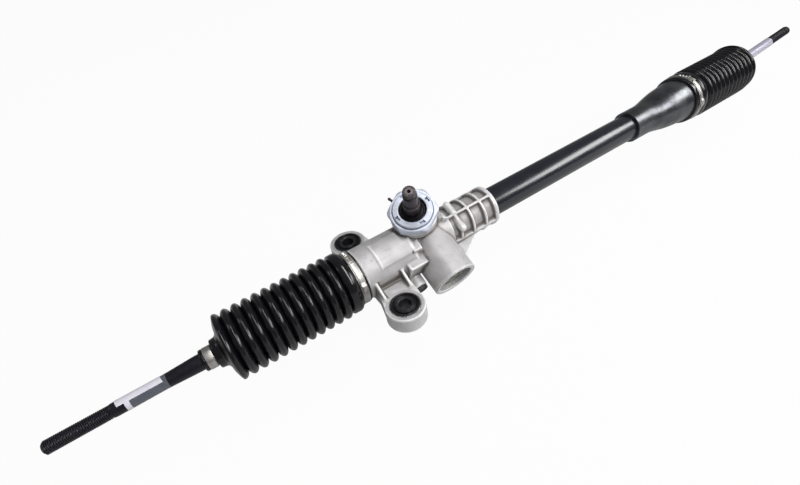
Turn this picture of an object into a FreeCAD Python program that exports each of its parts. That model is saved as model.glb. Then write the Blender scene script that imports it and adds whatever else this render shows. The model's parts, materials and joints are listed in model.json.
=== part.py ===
import FreeCAD, Part
import math
import os
import re

import Sketcher

Vector = FreeCAD.Vector

# A rack and pinion steering gear for a small car, in millimetres.
# +X runs along the rack to the right hand end, +Y points to the rear and +Z up.
# The origin is midway between the two mounting bolts, on the face that they clamp to.
# The rack's axis is parallel to X at the height rack_height.

# Driving dimensions
SIZES = {
    # rack bar and its travel
    "rack_height": 24.5,
    "rack_radius": 12.0,
    "rack_travel": 55.0,
    "stop_gap": 1.0,
    "bar_chamfer": 1.0,
    "running_clearance": 0.05,
    "bore_clearance": 1.0,
    "bore_flare": 3.0,
    "bore_flare_length": 2.0,
    "cutter_overrun": 1.0,
    # toothing of pinion and rack
    "normal_module": 2.0,
    "pinion_teeth": 7,
    "pressure_angle": 20.0,
    "profile_shift": 1.15,
    "rack_addendum": 1.8,
    "rack_dedendum": 2.0,
    "pinion_tip_radius": 9.9,
    "pinion_root_radius": 5.9,
    "backlash": 0.12,
    "rack_teeth": 22,
    "rack_land_depth": 3.0,
    "land_margin": 1.0,
    "land_run_out": 5.0,
    "pinion_face_width": 28.0,
    # pinion tower
    "pinion_station": 63.0,
    "tower_tilt": 23.3,
    "pinion_lean": 13.65,
    "tower_radius": 22.3,
    "tower_rim_radius": 23.4,
    "tower_rim_width": 8.0,
    "tower_rim_step": 1.0,
    "tower_top": 36.0,
    "tower_foot": 20.0,
    "foot_radius": 12.0,
    "foot_depth": 34.0,
    "foot_taper": 4.0,
    "pin_station": 28.0,
    "pin_angle": 16.4,
    "pin_radius": 1.5,
    "pin_root": 19.0,
    "pin_reach": 34.3,
    # pinion shaft
    "lower_journal_radius": 5.5,
    "lower_journal_end": 29.0,
    "journal_shoulder": 1.0,
    "shoulder_radius": 10.2,
    "shoulder_width": 4.0,
    "bearing_station": 20.0,
    "bearing_bore_radius": 8.5,
    "bearing_outer_radius": 17.5,
    "bearing_width": 11.0,
    "race_wall": 2.9,
    "race_round": 0.8,
    "needle_wall": 2.5,
    "needle_length": 12.0,
    "cap_wall": 1.5,
    "cap_depth": 3.0,
    "seal_journal_radius": 8.3,
    "spline_radius": 6.9,
    "spline_start": 62.0,
    "spline_run_in": 2.0,
    "clamp_groove_start": 76.0,
    "clamp_groove_end": 78.6,
    "clamp_groove_radius": 5.6,
    "pinion_tip_end": 83.3,
    "tip_radius": 6.1,
    "tip_chamfer": 0.8,
    "centre_hole_radius": 1.8,
    "centre_hole_depth": 4.0,
    "ring_wall": 1.1,
    "ring_thickness": 1.2,
    "ring_groove_depth": 0.5,
    # adjusting plug, seal and lock nut
    "plug_radius": 20.5,
    "plug_bore_radius": 13.7,
    "plug_top": 46.3,
    "plug_chamfer": 0.8,
    "plug_relief": 0.8,
    "plug_slots": 4,
    "slot_width": 5.0,
    "slot_reach": 3.2,
    "slot_edge": 1.0,
    "slot_depth": 2.5,
    "seal_bottom": 36.5,
    "seal_recess": 2.2,
    "seal_lip": 1.6,
    "seal_groove": 1.5,
    "seal_crown": 0.6,
    "seal_crown_width": 1.0,
    "nut_flats": 48.0,
    "nut_height": 7.5,
    "nut_turn": 30.0,
    "nut_corner_radius": 25.3,
    "nut_chamfer": 1.0,
    "nut_face_inset": 0.5,
    # support yoke
    "damper_radius": 23.6,
    "damper_reach": 54.7,
    "yoke_radius": 16.0,
    "yoke_front": 4.5,
    "yoke_gap": 0.1,
    "yoke_pocket_radius": 9.6,
    "yoke_pocket_share": 0.45,
    "damper_bore_lead": 2.0,
    "liner_inset": 1.0,
    "liner_wall": 0.8,
    "o_ring_wire": 1.6,
    "o_ring_station": 17.0,
    "spring_radius": 7.8,
    "spring_wire": 2.2,
    "spring_turns": 3.0,
    "yoke_plug_radius": 19.0,
    "yoke_plug_recess": 6.0,
    "yoke_plug_share": 0.322,
    "yoke_plug_hex": 24.0,
    "yoke_plug_hex_depth": 8.0,
    # housing barrel and tube socket
    "boot_seat_radius": 24.8,
    "barrel_radius": 26.3,
    "barrel_end": 38.0,
    "pad_start": 0.0,
    "pad_end": 38.0,
    "pad_height": 0.9,
    "pad_front": 15.5,
    "pad_rear": 13.0,
    "waist_radius": 21.0,
    "waist_start": 47.0,
    "socket_start": 88.0,
    "socket_end": 146.3,
    "socket_wall": 2.6,
    "socket_rib_radius": 22.2,
    "socket_rib_width": 3.0,
    "socket_rib_first": 96.5,
    "socket_rib_pitch": 16.2,
    "socket_ribs": 3,
    "socket_ring_width": 5.0,
    "tube_seat_start": 94.0,
    "spine_rise_start": 80.0,
    "spine_rise_end": 88.0,
    "spine_rise": 30.0,
    "level_spine_width": 5.5,
    "level_spine_height": 2.0,
    "post_station": 96.8,
    "post_radius": 4.0,
    "rear_post_height": 20.0,
    "rear_post_reach": 17.0,
    "front_post_height": 17.0,
    "front_post_reach": 20.0,
    "web_reach": 42.0,
    "web_end": 128.0,
    "web_sink": 3.0,
    "block_start": 38.0,
    "block_reach": 29.0,
    "block_bottom": -4.0,
    "block_top": 16.0,
    "step_start": 27.0,
    "step_end": 17.0,
    "step_top": 23.5,
    "step_width": 12.0,
    "step_inset": 10.0,
    "side_boss_station": 32.0,
    "side_boss_radius": 7.5,
    "side_cap_radius": 6.5,
    "side_boss_reach": 41.0,
    "side_cap_length": 3.0,
    # mounting lugs and bushes
    "lug_spacing": 113.3,
    "lug_radius": 19.6,
    "lug_root_right": 23.5,
    "lug_boot_gap": 1.6,
    "lug_top": 19.2,
    "lug_bottom": 2.0,
    "gusset_width": 3.0,
    "gusset_left": -11.0,
    "gusset_right": 18.0,
    "gusset_reach": 20.0,
    "gusset_rise": 13.0,
    "gusset_sink": 4.0,
    "gusset_lap": 2.0,
    "bush_radius": 14.9,
    "shell_wall": 1.2,
    "sleeve_outer_radius": 8.6,
    "bolt_hole_radius": 6.25,
    "sleeve_top": 20.6,
    "rubber_collar_radius": 10.4,
    "rubber_groove_width": 1.4,
    "rubber_groove_depth": 0.8,
    "rubber_bead_radius": 14.3,
    "rubber_bead_height": 1.2,
    "rubber_bead_round": 0.6,
    # rack tube and its far end
    "tube_clearance": 1.0,
    "tube_wall": 3.0,
    "sleeve_collar_radius": 19.2,
    "sleeve_collar_length": 27.0,
    "sleeve_flare_length": 38.0,
    "sleeve_flare_radius": 25.6,
    "sleeve_barrel_length": 30.0,
    "sleeve_end_radius": 28.0,
    "sleeve_wall": 2.4,
    "bush_length": 24.0,
    "bush_inset": 4.0,
    "bush_ring_width": 1.5,
    "bush_ring_groove": 0.7,
    "bush_ring_slack": 0.35,
    # inner ball joints and tie rods
    "right_ball_station": 558.4,
    "socket_length": 31.0,
    "socket_radius": 16.0,
    "socket_lip_radius": 13.8,
    "socket_lip_length": 3.0,
    "stud_radius": 7.0,
    "stud_length": 18.0,
    "stud_hole_gap": 2.0,
    "washer_thickness": 2.0,
    "washer_radius": 14.5,
    "ball_radius": 11.0,
    "ball_inset": 20.0,
    "seat_wall": 2.0,
    "seat_end": 25.0,
    "socket_throat_radius": 10.2,
    "socket_mouth_radius": 12.7,
    "neck_radius": 6.0,
    "neck_end": 17.0,
    "neck_taper": 3.0,
    "rod_radius": 7.65,
    "rod_taper_start": 66.0,
    "rod_taper_end": 95.0,
    "rod_shank_radius": 6.3,
    "thread_start": 139.0,
    "thread_run_in": 1.0,
    "thread_radius": 6.0,
    "thread_chamfer": 1.4,
    "rod_length": 189.6,
    "left_rod_lift": 0.0,
    "left_rod_swing": 0.0,
    "right_rod_lift": 3.0,
    "right_rod_swing": 2.4,
    # boots and their clamps
    "boot_ridges": 12,
    "left_boot_lip": -13.3,
    "left_ridge_pitch": 9.6,
    "right_lip_to_ball": 87.4,
    "right_ridge_pitch": 8.64,
    "ridge_radius": 32.5,
    "valley_radius": 26.2,
    "boot_wall": 2.2,
    "boot_seat_length": 21.7,
    "boot_lip_gap": 0.8,
    "boot_relief": 1.0,
    "boot_end_wall": 1.0,
    "boot_end_lap": 2.6,
    "cuff_length": 15.0,
    "shoulder_start": 16.5,
    "boot_shoulder_radius": 31.4,
    "shoulder_end": 26.0,
    "ridge_offset": 9.6,
    "neck_step": 6.5,
    "boot_neck_radius": 14.5,
    "small_cuff_radius": 9.6,
    "small_cuff_start": 13.0,
    "small_cuff_length": 11.5,
    "large_clamp_station": 4.2,
    "large_clamp_width": 8.0,
    "clamp_thickness": 0.9,
    "buckle_length": 9.0,
    "buckle_height": 2.2,
    "buckle_margin": 1.0,
    "small_clamp_inset": 3.0,
    "small_clamp_width": 6.0,
    "small_clamp_thickness": 0.8,
}

# Sizes worked out from the driving dimensions
DERIVED = {
    "rack_land_height": "rack_radius - rack_land_depth",
    "pitch_radius": "pinion_teeth * normal_module / (2 * cos(pinion_lean))",
    "rack_tip_distance": "pitch_radius + profile_shift - rack_addendum",
    "pinion_offset": "rack_land_height + rack_tip_distance",
    "rack_pitch": "pi * normal_module",
    "bore_radius": "rack_radius + bore_clearance",
    "race_split": "bearing_bore_radius + race_wall",
    "race_seat": "bearing_outer_radius - race_wall",
    "bearing_end": "bearing_station + bearing_width",
    "seal_top": "plug_top - seal_recess",
    "needle_start": "lower_journal_end - needle_length",
    "needle_radius": "lower_journal_radius + needle_wall",
    "liner_radius": "rack_radius + running_clearance",
    "yoke_seat_radius": "liner_radius + liner_wall",
    "yoke_plug_end": "damper_reach - yoke_plug_recess",
    "yoke_plug_start": "yoke_plug_end - yoke_plug_share * damper_reach",
    "yoke_back": "yoke_plug_start - yoke_gap",
    "yoke_pocket_depth": "yoke_pocket_share * (yoke_back - yoke_front)",
    "lug_offset": "lug_spacing / 2",
    "tube_bore_radius": "rack_radius + tube_clearance",
    "tube_radius": "tube_bore_radius + tube_wall",
    "socket_core_radius": "tube_radius + socket_wall",
    "housing_mouth": "left_boot_lip - boot_seat_length",
    "boot_seat_end": "left_boot_lip + boot_lip_gap",
    "right_boot_lip": "right_ball_station - right_lip_to_ball",
    "first_ridge": "boot_seat_length + ridge_offset",
    "sleeve_mouth": "right_boot_lip + boot_seat_length",
    "sleeve_flare_end": "right_boot_lip - sleeve_barrel_length",
    "sleeve_flare_start": "sleeve_flare_end - sleeve_flare_length",
    "sleeve_start": "sleeve_flare_start - sleeve_collar_length",
    "left_face": "housing_mouth - washer_thickness - rack_travel - stop_gap",
    "left_ball": "left_face - ball_inset",
    "right_face": "right_ball_station - ball_inset",
    "tube_end": "right_face - washer_thickness - rack_travel - stop_gap",
    "bush_end": "tube_end - bush_inset",
    "bush_start": "bush_end - bush_length",
    "sleeve_bore_radius": "sleeve_end_radius - sleeve_wall",
    "seat_radius": "ball_radius + seat_wall",
    "seat_start": "ball_inset - ball_radius - seat_wall",
    "seat_ball_radius": "ball_radius + running_clearance",
    "left_end": "left_face + washer_thickness",
    "right_end": "right_face - washer_thickness",
}

doc = FreeCAD.newDocument("SteeringRack")
sheet = doc.addObject("Spreadsheet::Sheet", "Sizes")
for row, (alias, number) in enumerate(SIZES.items(), start=1):
    sheet.set(f"A{row}", alias)
    sheet.set(f"B{row}", str(number))
    sheet.setAlias(f"B{row}", alias)
doc.recompute()

NODES = []


def bind(text):
    """Write a size expression in the sheet's terms."""
    def spell(match):
        word = match.group(0)
        if word in DERIVED:
            return "(" + bind(DERIVED[word]) + ")"
        return "Sizes." + word if word in SIZES else word
    return re.sub(r"[a-z_][a-z_0-9]*", spell, text)


def size(text):
    """Work out a size expression as a number."""
    return float(sheet.evalExpression(bind(text)))


def node(label, piece):
    """Name a finished piece, which is written to a file of that name."""
    piece.Label = label
    NODES.append(piece)
    return piece


def place(piece, frame):
    piece.setExpression("Placement", frame)
    return piece


# Frames that the pieces are drawn in
def frame_at(x="0", y="0", z="0", turn_axis="0; 0; 1", angle="0"):
    """A frame moved to a point and turned about an axis through it."""
    spot = f"vector({bind(x)}; {bind(y)}; {bind(z)})"
    return f"placement({spot}; rotation(vector({turn_axis}); {bind(angle)}))"


def rack_frame(x="0"):
    """Local X along the rack."""
    return frame_at(x, "0", "rack_height")


def outward_frame(side, x, lift="0", swing="0"):
    """Local X from the middle of the gear to one end, swung to the rear and lifted."""
    turn = "180" if side == "left" else "0"
    level = frame_at(x, "0", "rack_height", angle=f"{turn} + {swing}")
    return level + " * " + frame_at(turn_axis="0; 1; 0", angle=f"0 - {lift}")


TOWER = frame_at("pinion_station", "0", "rack_height", "1; 0; 0", "tower_tilt")
DAMPER = TOWER + " * " + frame_at(angle="-90")
PINION = TOWER + " * " + frame_at("0", "pinion_offset", "0", "0; 1; 0", "-90 - pinion_lean")
RACK_TEETH = frame_at("pinion_station", "0", "rack_height", "1; 0; 0", "tower_tilt - 90")
SIDE_BOSS = TOWER + " * " + frame_at("-side_boss_station", "0", "-side_boss_radius", angle="-90")
PIN_TURN = frame_at("pin_station", "0", "0", "1; 0; 0", "pin_angle") + " * " + frame_at(angle="90")
TOWER_PIN = PINION + " * " + PIN_TURN


def outline(body, plane, points):
    """A closed sketch whose corners are bound to size expressions."""
    sketch = body.newObject("Sketcher::SketchObject", body.Name + "Sketch")
    origin = {feature.Role: feature for feature in body.Origin.OriginFeatures}
    sketch.AttachmentSupport = [(origin[plane], "")]
    sketch.MapMode = "FlatFace"
    spots = [Vector(size(across), size(up), 0) for across, up in points]
    count = len(spots)
    for index, spot in enumerate(spots):
        sketch.addGeometry(Part.LineSegment(spot, spots[(index + 1) % count]), False)
    for index in range(count):
        sketch.addConstraint(Sketcher.Constraint("Coincident", index, 2, (index + 1) % count, 1))
    for index, (across, up) in enumerate(points):
        for kind, text, number in (("DistanceX", across, spots[index].x), ("DistanceY", up, spots[index].y)):
            constraint = sketch.addConstraint(Sketcher.Constraint(kind, -1, 1, index, 1, number))
            sketch.setExpression(f"Constraints[{constraint}]", bind(text))
    return sketch


def turned(name, points, frame):
    """A body turned about its local X from corners given as station and radius."""
    body = doc.addObject("PartDesign::Body", name)
    feature = body.newObject("PartDesign::Revolution", name + "Turn")
    sketch = outline(body, "XZ_Plane", points)
    feature.Profile = sketch
    feature.ReferenceAxis = (sketch, ["H_Axis"])
    feature.Angle = 360
    sketch.Visibility = False
    return place(body, frame)


def ring(name, start, end, inner, outer, frame):
    """A plain turned ring or disc."""
    corners = [(start, inner), (end, inner), (end, outer), (start, outer)]
    return turned(name, corners, frame)


def slab(name, plane, points, thickness, frame):
    """A flat plate of an outline, half its thickness each side of the sketch plane."""
    body = doc.addObject("PartDesign::Body", name)
    feature = body.newObject("PartDesign::Pad", name + "Pad")
    feature.Profile = outline(body, plane, points)
    feature.Midplane = True
    feature.setExpression("Length", bind(thickness))
    return place(body, frame)


def primitive(kind, name, frame, **sizes):
    piece = doc.addObject(kind, name)
    for key, text in sizes.items():
        piece.setExpression(key, bind(text))
    return place(piece, frame)


def fused(name, pieces):
    union = doc.addObject("Part::MultiFuse", name)
    union.Shapes = pieces
    return union


def cut(name, base, tool):
    result = doc.addObject("Part::Cut", name)
    result.Base = base
    result.Tool = tool
    return result


def common(name, pieces):
    result = doc.addObject("Part::MultiCommon", name)
    result.Shapes = pieces
    return result


# Housing
def make_lug(name, sign):
    """A mounting ear: a round end on a tapering arm."""
    eye_frame = frame_at("0", f"{sign} * lug_offset", "lug_bottom")
    height = "lug_top - lug_bottom"
    eye = primitive("Part::Cylinder", name + "Eye", eye_frame, Radius="lug_radius", Height=height)
    corners = [
        ("boot_seat_end", "0"),
        ("lug_root_right", "0"),
        ("lug_radius", f"{sign} * lug_offset"),
        ("-lug_radius", f"{sign} * lug_offset"),
        ("boot_seat_end", f"{sign} * (boot_seat_radius + boot_wall + lug_boot_gap)"),
    ]
    if sign < 0:
        corners.reverse()
    arm_frame = frame_at("0", "0", "(lug_top + lug_bottom) / 2")
    arm = slab(name + "Arm", "XY_Plane", corners, height, arm_frame)
    return [eye, arm]


def make_gussets(name, sign):
    """The two thin ribs that stiffen a lug against the barrel."""
    root = "barrel_radius - gusset_sink"
    corners = [
        (f"{sign} * ({root})", "lug_top - gusset_lap"),
        (f"{sign} * ({root} + gusset_reach)", "lug_top - gusset_lap"),
        (f"{sign} * ({root} + gusset_reach)", "lug_top"),
        (f"{sign} * ({root})", "lug_top + gusset_rise"),
    ]
    if sign < 0:
        corners.reverse()
    return [
        slab(name + side.title(), "YZ_Plane", corners, "gusset_width", frame_at(f"gusset_{side}"))
        for side in ("left", "right")
    ]


def make_post(name, sign, height, reach):
    """A round ended bar across the top of the socket."""
    frame = TOWER + " * " + frame_at("post_station - pinion_station", "0", height)
    bar_frame = frame + " * " + frame_at(turn_axis="1; 0; 0", angle=f"{sign} * -90")
    bar_length = f"{reach} - post_radius"
    bar = primitive("Part::Cylinder", name + "Bar", bar_frame, Radius="post_radius", Height=bar_length)
    end_frame = frame + " * " + frame_at("0", f"{sign} * ({bar_length})")
    return [bar, primitive("Part::Sphere", name + "End", end_frame, Radius="post_radius")]


def make_socket_ribs():
    """The rings, spines, posts and web around the socket that holds the tube."""
    ring_start = "socket_end - socket_ring_width"
    pieces = [ring("SocketRing", ring_start, "socket_end", "0", "socket_rib_radius", rack_frame())]
    for index in range(int(SIZES["socket_ribs"])):
        middle = f"socket_rib_first + {index} * socket_rib_pitch"
        start = f"{middle} - socket_rib_width / 2"
        end = f"{middle} + socket_rib_width / 2"
        pieces.append(ring(f"SocketRib{index}", start, end, "0", "socket_rib_radius", rack_frame()))
    spine_end = "socket_end - pinion_station"
    rise_start = "spine_rise_start - pinion_station"
    rise_end = "spine_rise_end - pinion_station"
    upright_corners = [
        (rise_start, "-socket_rib_radius"),
        (spine_end, "-socket_rib_radius"),
        (spine_end, "socket_rib_radius"),
        (rise_end, "socket_rib_radius"),
        (rise_start, "spine_rise"),
    ]
    pieces.append(slab("UprightSpine", "XZ_Plane", upright_corners, "socket_rib_width", TOWER))
    level_corners = [
        (rise_start, "-socket_rib_radius"),
        (spine_end, "-socket_rib_radius"),
        (spine_end, "socket_rib_radius"),
        (rise_start, "socket_rib_radius"),
    ]
    level_frame = TOWER + " * " + frame_at("0", "0", "level_spine_height")
    pieces.append(slab("LevelSpine", "XY_Plane", level_corners, "level_spine_width", level_frame))
    web_corners = [
        ("damper_radius - web_sink", "-socket_core_radius + web_sink"),
        ("damper_radius - web_sink", "-web_reach"),
        ("web_end - pinion_station", "-socket_core_radius + web_sink"),
    ]
    pieces.append(slab("SocketWeb", "XY_Plane", web_corners, "socket_rib_width", TOWER))
    pieces += make_post("RearPost", 1, "rear_post_height", "rear_post_reach")
    pieces += make_post("FrontPost", -1, "front_post_height", "front_post_reach")
    return pieces


def make_side_forms():
    """The block, step and boss at the barrel's side and the low pad on its top."""
    block = slab(
        "SideBlock",
        "XZ_Plane",
        [
            ("-block_start", "block_bottom"),
            ("0", "block_bottom"),
            ("0", "block_top"),
            ("-block_start", "block_top"),
        ],
        "block_reach",
        TOWER + " * " + frame_at("0", "-block_reach / 2", "0"),
    )
    step = slab(
        "SideStep",
        "XZ_Plane",
        [
            ("-step_start", "0"),
            ("-step_end", "0"),
            ("-step_end", "step_top"),
            ("-step_start", "step_top"),
        ],
        "step_width",
        TOWER + " * " + frame_at("0", "-step_inset", "0"),
    )
    pad_collar = ring("PadCollar", "pad_start", "pad_end", "0", "barrel_radius + pad_height", rack_frame())
    pad_area = slab(
        "PadArea",
        "XY_Plane",
        [
            ("pad_start - pinion_station", "-pad_front"),
            ("pad_end - pinion_station", "-pad_front"),
            ("pad_end - pinion_station", "pad_rear"),
            ("pad_start - pinion_station", "pad_rear"),
        ],
        "2 * barrel_radius",
        TOWER + " * " + frame_at("0", "0", "barrel_radius"),
    )
    boss = ring("SideBoss", "0", "side_boss_reach", "0", "side_boss_radius", SIDE_BOSS)
    return [block, step, common("BarrelPad", [pad_collar, pad_area]), boss]


def make_housing_casting():
    barrel = turned(
        "Barrel",
        [
            ("housing_mouth", "0"),
            ("socket_end", "0"),
            ("socket_end", "socket_core_radius"),
            ("socket_start", "socket_core_radius"),
            ("socket_start", "waist_radius"),
            ("waist_start", "waist_radius"),
            ("barrel_end", "barrel_radius"),
            ("boot_seat_end", "barrel_radius"),
            ("boot_seat_end", "boot_seat_radius"),
            ("housing_mouth + bar_chamfer", "boot_seat_radius"),
            ("housing_mouth", "boot_seat_radius - bar_chamfer"),
        ],
        rack_frame(),
    )
    tower = turned(
        "Tower",
        [
            ("-foot_depth", "0"),
            ("tower_top", "0"),
            ("tower_top", "tower_rim_radius"),
            ("tower_top - tower_rim_width", "tower_rim_radius"),
            ("tower_top - tower_rim_width - tower_rim_step", "tower_radius"),
            ("-tower_foot", "tower_radius"),
            ("-tower_foot - foot_taper", "foot_radius"),
            ("-foot_depth", "foot_radius"),
        ],
        PINION,
    )
    damper = ring("DamperBoss", "0", "damper_reach", "0", "damper_radius", DAMPER)
    pieces = [barrel, tower, damper] + make_socket_ribs() + make_side_forms()
    for name, sign in (("FrontLug", -1), ("RearLug", 1)):
        pieces += make_lug(name, sign)
        pieces += make_gussets(name + "Gusset", sign)
    return fused("HousingCasting", pieces)


def make_housing_bores():
    rack_bore = turned(
        "RackBore",
        [
            ("housing_mouth - cutter_overrun", "0"),
            ("socket_end + cutter_overrun", "0"),
            ("socket_end + cutter_overrun", "tube_radius"),
            ("tube_seat_start", "tube_radius"),
            ("tube_seat_start", "bore_radius"),
            ("housing_mouth + bore_flare_length", "bore_radius"),
            ("housing_mouth - cutter_overrun", "bore_radius + bore_flare"),
        ],
        rack_frame(),
    )
    pinion_bore = turned(
        "PinionBore",
        [
            ("-foot_depth - cutter_overrun", "0"),
            ("tower_top + cutter_overrun", "0"),
            ("tower_top + cutter_overrun", "plug_radius"),
            ("bearing_end", "plug_radius"),
            ("bearing_end", "bearing_outer_radius"),
            ("bearing_station", "bearing_outer_radius"),
            ("bearing_station", "race_split + bore_clearance"),
            ("-needle_start", "race_split + bore_clearance"),
            ("-needle_start", "needle_radius"),
            ("-foot_depth - cutter_overrun", "needle_radius"),
        ],
        PINION,
    )
    damper_bore = turned(
        "DamperBore",
        [
            ("yoke_front - damper_bore_lead", "0"),
            ("damper_reach + cutter_overrun", "0"),
            ("damper_reach + cutter_overrun", "yoke_plug_radius"),
            ("yoke_back", "yoke_plug_radius"),
            ("yoke_back", "yoke_radius"),
            ("yoke_front - damper_bore_lead", "yoke_radius"),
        ],
        DAMPER,
    )
    lug_holes = [
        primitive(
            "Part::Cylinder",
            f"LugHole{index}",
            frame_at("0", f"{sign} * lug_offset", "lug_bottom - cutter_overrun"),
            Radius="bush_radius",
            Height="lug_top - lug_bottom + 2 * cutter_overrun",
        )
        for index, sign in enumerate((-1, 1))
    ]
    hole_end = "tower_rim_radius + cutter_overrun"
    pin_hole = ring("PinHole", "pin_root", hole_end, "0", "pin_radius", TOWER_PIN)
    return fused("HousingBores", [rack_bore, pinion_bore, damper_bore, pin_hole] + lug_holes)


node("pinion_housing", cut("PinionHousing", make_housing_casting(), make_housing_bores()))


# Mounting bushes
def make_bush(label, sign):
    frame = frame_at("0", f"{sign} * lug_offset", "0", "0; 1; 0", "-90")
    name = label.title()
    shell = ring(name + "Shell", "lug_bottom", "lug_top", "bush_radius - shell_wall", "bush_radius", frame)
    bead_start = "rubber_collar_radius + rubber_groove_width"
    rubber = turned(
        name + "Rubber",
        [
            ("lug_bottom", "sleeve_outer_radius"),
            ("lug_top + rubber_bead_height", "sleeve_outer_radius"),
            ("lug_top + rubber_bead_height", "rubber_collar_radius"),
            ("lug_top - rubber_groove_depth", "rubber_collar_radius"),
            ("lug_top - rubber_groove_depth", bead_start),
            ("lug_top + rubber_bead_height", bead_start + " + rubber_bead_round"),
            ("lug_top + rubber_bead_height", "rubber_bead_radius - rubber_bead_round"),
            ("lug_top", "rubber_bead_radius"),
            ("lug_top", "bush_radius - shell_wall"),
            ("lug_bottom", "bush_radius - shell_wall"),
        ],
        frame,
    )
    sleeve = ring(name + "Sleeve", "0", "sleeve_top", "bolt_hole_radius", "sleeve_outer_radius", frame)
    node(f"{label}_bush_shell", shell)
    node(f"{label}_bush_rubber", rubber)
    node(f"{label}_bush_sleeve", sleeve)


make_bush("front", -1)
make_bush("rear", 1)

# Boss cap and the small pin beside the tower
cap_end = "side_boss_reach + side_cap_length"
node("side_boss_cap", ring("SideBossCap", "side_boss_reach", cap_end, "0", "side_cap_radius", SIDE_BOSS))
node("tower_pin", ring("TowerPin", "pin_root", "pin_reach", "0", "pin_radius", TOWER_PIN))

# Rack tube and far end
node(
    "rack_tube",
    turned(
        "RackTube",
        [
            ("tube_seat_start", "tube_bore_radius"),
            ("bush_end", "tube_bore_radius"),
            ("bush_end", "tube_bore_radius + bush_ring_groove"),
            ("bush_end + bush_ring_width", "tube_bore_radius + bush_ring_groove"),
            ("bush_end + bush_ring_width", "tube_bore_radius"),
            ("tube_end", "tube_bore_radius"),
            ("tube_end", "tube_radius"),
            ("tube_seat_start", "tube_radius"),
        ],
        rack_frame(),
    ),
)
node(
    "tube_end_sleeve",
    turned(
        "TubeEndSleeve",
        [
            ("sleeve_start", "tube_radius"),
            ("sleeve_flare_start", "tube_radius"),
            ("sleeve_flare_end", "sleeve_flare_radius - sleeve_wall"),
            ("right_boot_lip", "sleeve_bore_radius"),
            ("sleeve_mouth", "sleeve_bore_radius"),
            ("sleeve_mouth", "sleeve_end_radius"),
            ("right_boot_lip", "sleeve_end_radius"),
            ("sleeve_flare_end", "sleeve_flare_radius"),
            ("sleeve_flare_start", "sleeve_collar_radius"),
            ("sleeve_start", "sleeve_collar_radius"),
        ],
        rack_frame(),
    ),
)
node(
    "rack_bush",
    ring("RackBush", "bush_start", "bush_end", "liner_radius", "tube_bore_radius", rack_frame()),
)
node(
    "bush_retaining_ring",
    ring(
        "BushRing", "bush_end", "bush_end + bush_ring_width", "liner_radius + bush_ring_slack",
        "tube_bore_radius + bush_ring_groove", rack_frame(),
    ),
)


# Rack bar: turned blank, flat land and a row of tooth spaces
def make_rack_bar():
    stud_depth = "stud_length + stud_hole_gap"
    bar = turned(
        "RackBar",
        [
            (f"left_end + {stud_depth} - pinion_station", "0"),
            (f"right_end - ({stud_depth}) - pinion_station", "0"),
            (f"right_end - ({stud_depth}) - pinion_station", "stud_radius"),
            ("right_end - pinion_station", "stud_radius"),
            ("right_end - pinion_station", "rack_radius - bar_chamfer"),
            ("right_end - bar_chamfer - pinion_station", "rack_radius"),
            ("left_end + bar_chamfer - pinion_station", "rack_radius"),
            ("left_end - pinion_station", "rack_radius - bar_chamfer"),
            ("left_end - pinion_station", "stud_radius"),
            (f"left_end + {stud_depth} - pinion_station", "stud_radius"),
        ],
        RACK_TEETH,
    )
    row_half = "rack_teeth * rack_pitch / 2"
    land = bar.newObject("PartDesign::Pocket", "ToothLand")
    land.Profile = outline(
        bar,
        "XZ_Plane",
        [
            (f"-({row_half}) - land_margin", "rack_land_height"),
            (f"{row_half} + land_margin", "rack_land_height"),
            (f"{row_half} + land_run_out", "rack_radius + cutter_overrun"),
            (f"-({row_half}) - land_run_out", "rack_radius + cutter_overrun"),
        ],
    )
    land.Midplane = True
    land.setExpression("Length", bind("4 * rack_radius"))
    flank_out = "(rack_pitch / 4 + rack_addendum * tan(pressure_angle))"
    flank_in = "(rack_pitch / 4 - rack_dedendum * tan(pressure_angle))"
    first = "rack_pitch * (rack_teeth / 2 - 0.5)"
    floor = "rack_land_height - rack_addendum - rack_dedendum"
    space = bar.newObject("PartDesign::Pocket", "ToothSpace")
    space.Profile = outline(
        bar,
        "XZ_Plane",
        [
            (f"-({first}) - {flank_in}", floor),
            (f"-({first}) + {flank_in}", floor),
            (f"-({first}) + {flank_out}", "rack_land_height"),
            (f"-({first}) + {flank_out}", "rack_radius"),
            (f"-({first}) - {flank_out}", "rack_radius"),
            (f"-({first}) - {flank_out}", "rack_land_height"),
        ],
    )
    space.Midplane = True
    space.setExpression("Length", bind("4 * rack_radius"))
    row = bar.newObject("PartDesign::LinearPattern", "ToothRow")
    row.Originals = [space]
    row.Direction = (space.Profile[0], ["H_Axis"])
    row.setExpression("Length", bind("rack_pitch * (rack_teeth - 1)"))
    row.setExpression("Occurrences", bind("rack_teeth"))
    bar.Tip = row
    return bar


node("rack_bar", make_rack_bar())


# Pinion: helical teeth generated from their involute, on a turned shaft
def involute(angle):
    return math.tan(angle) - angle


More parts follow.
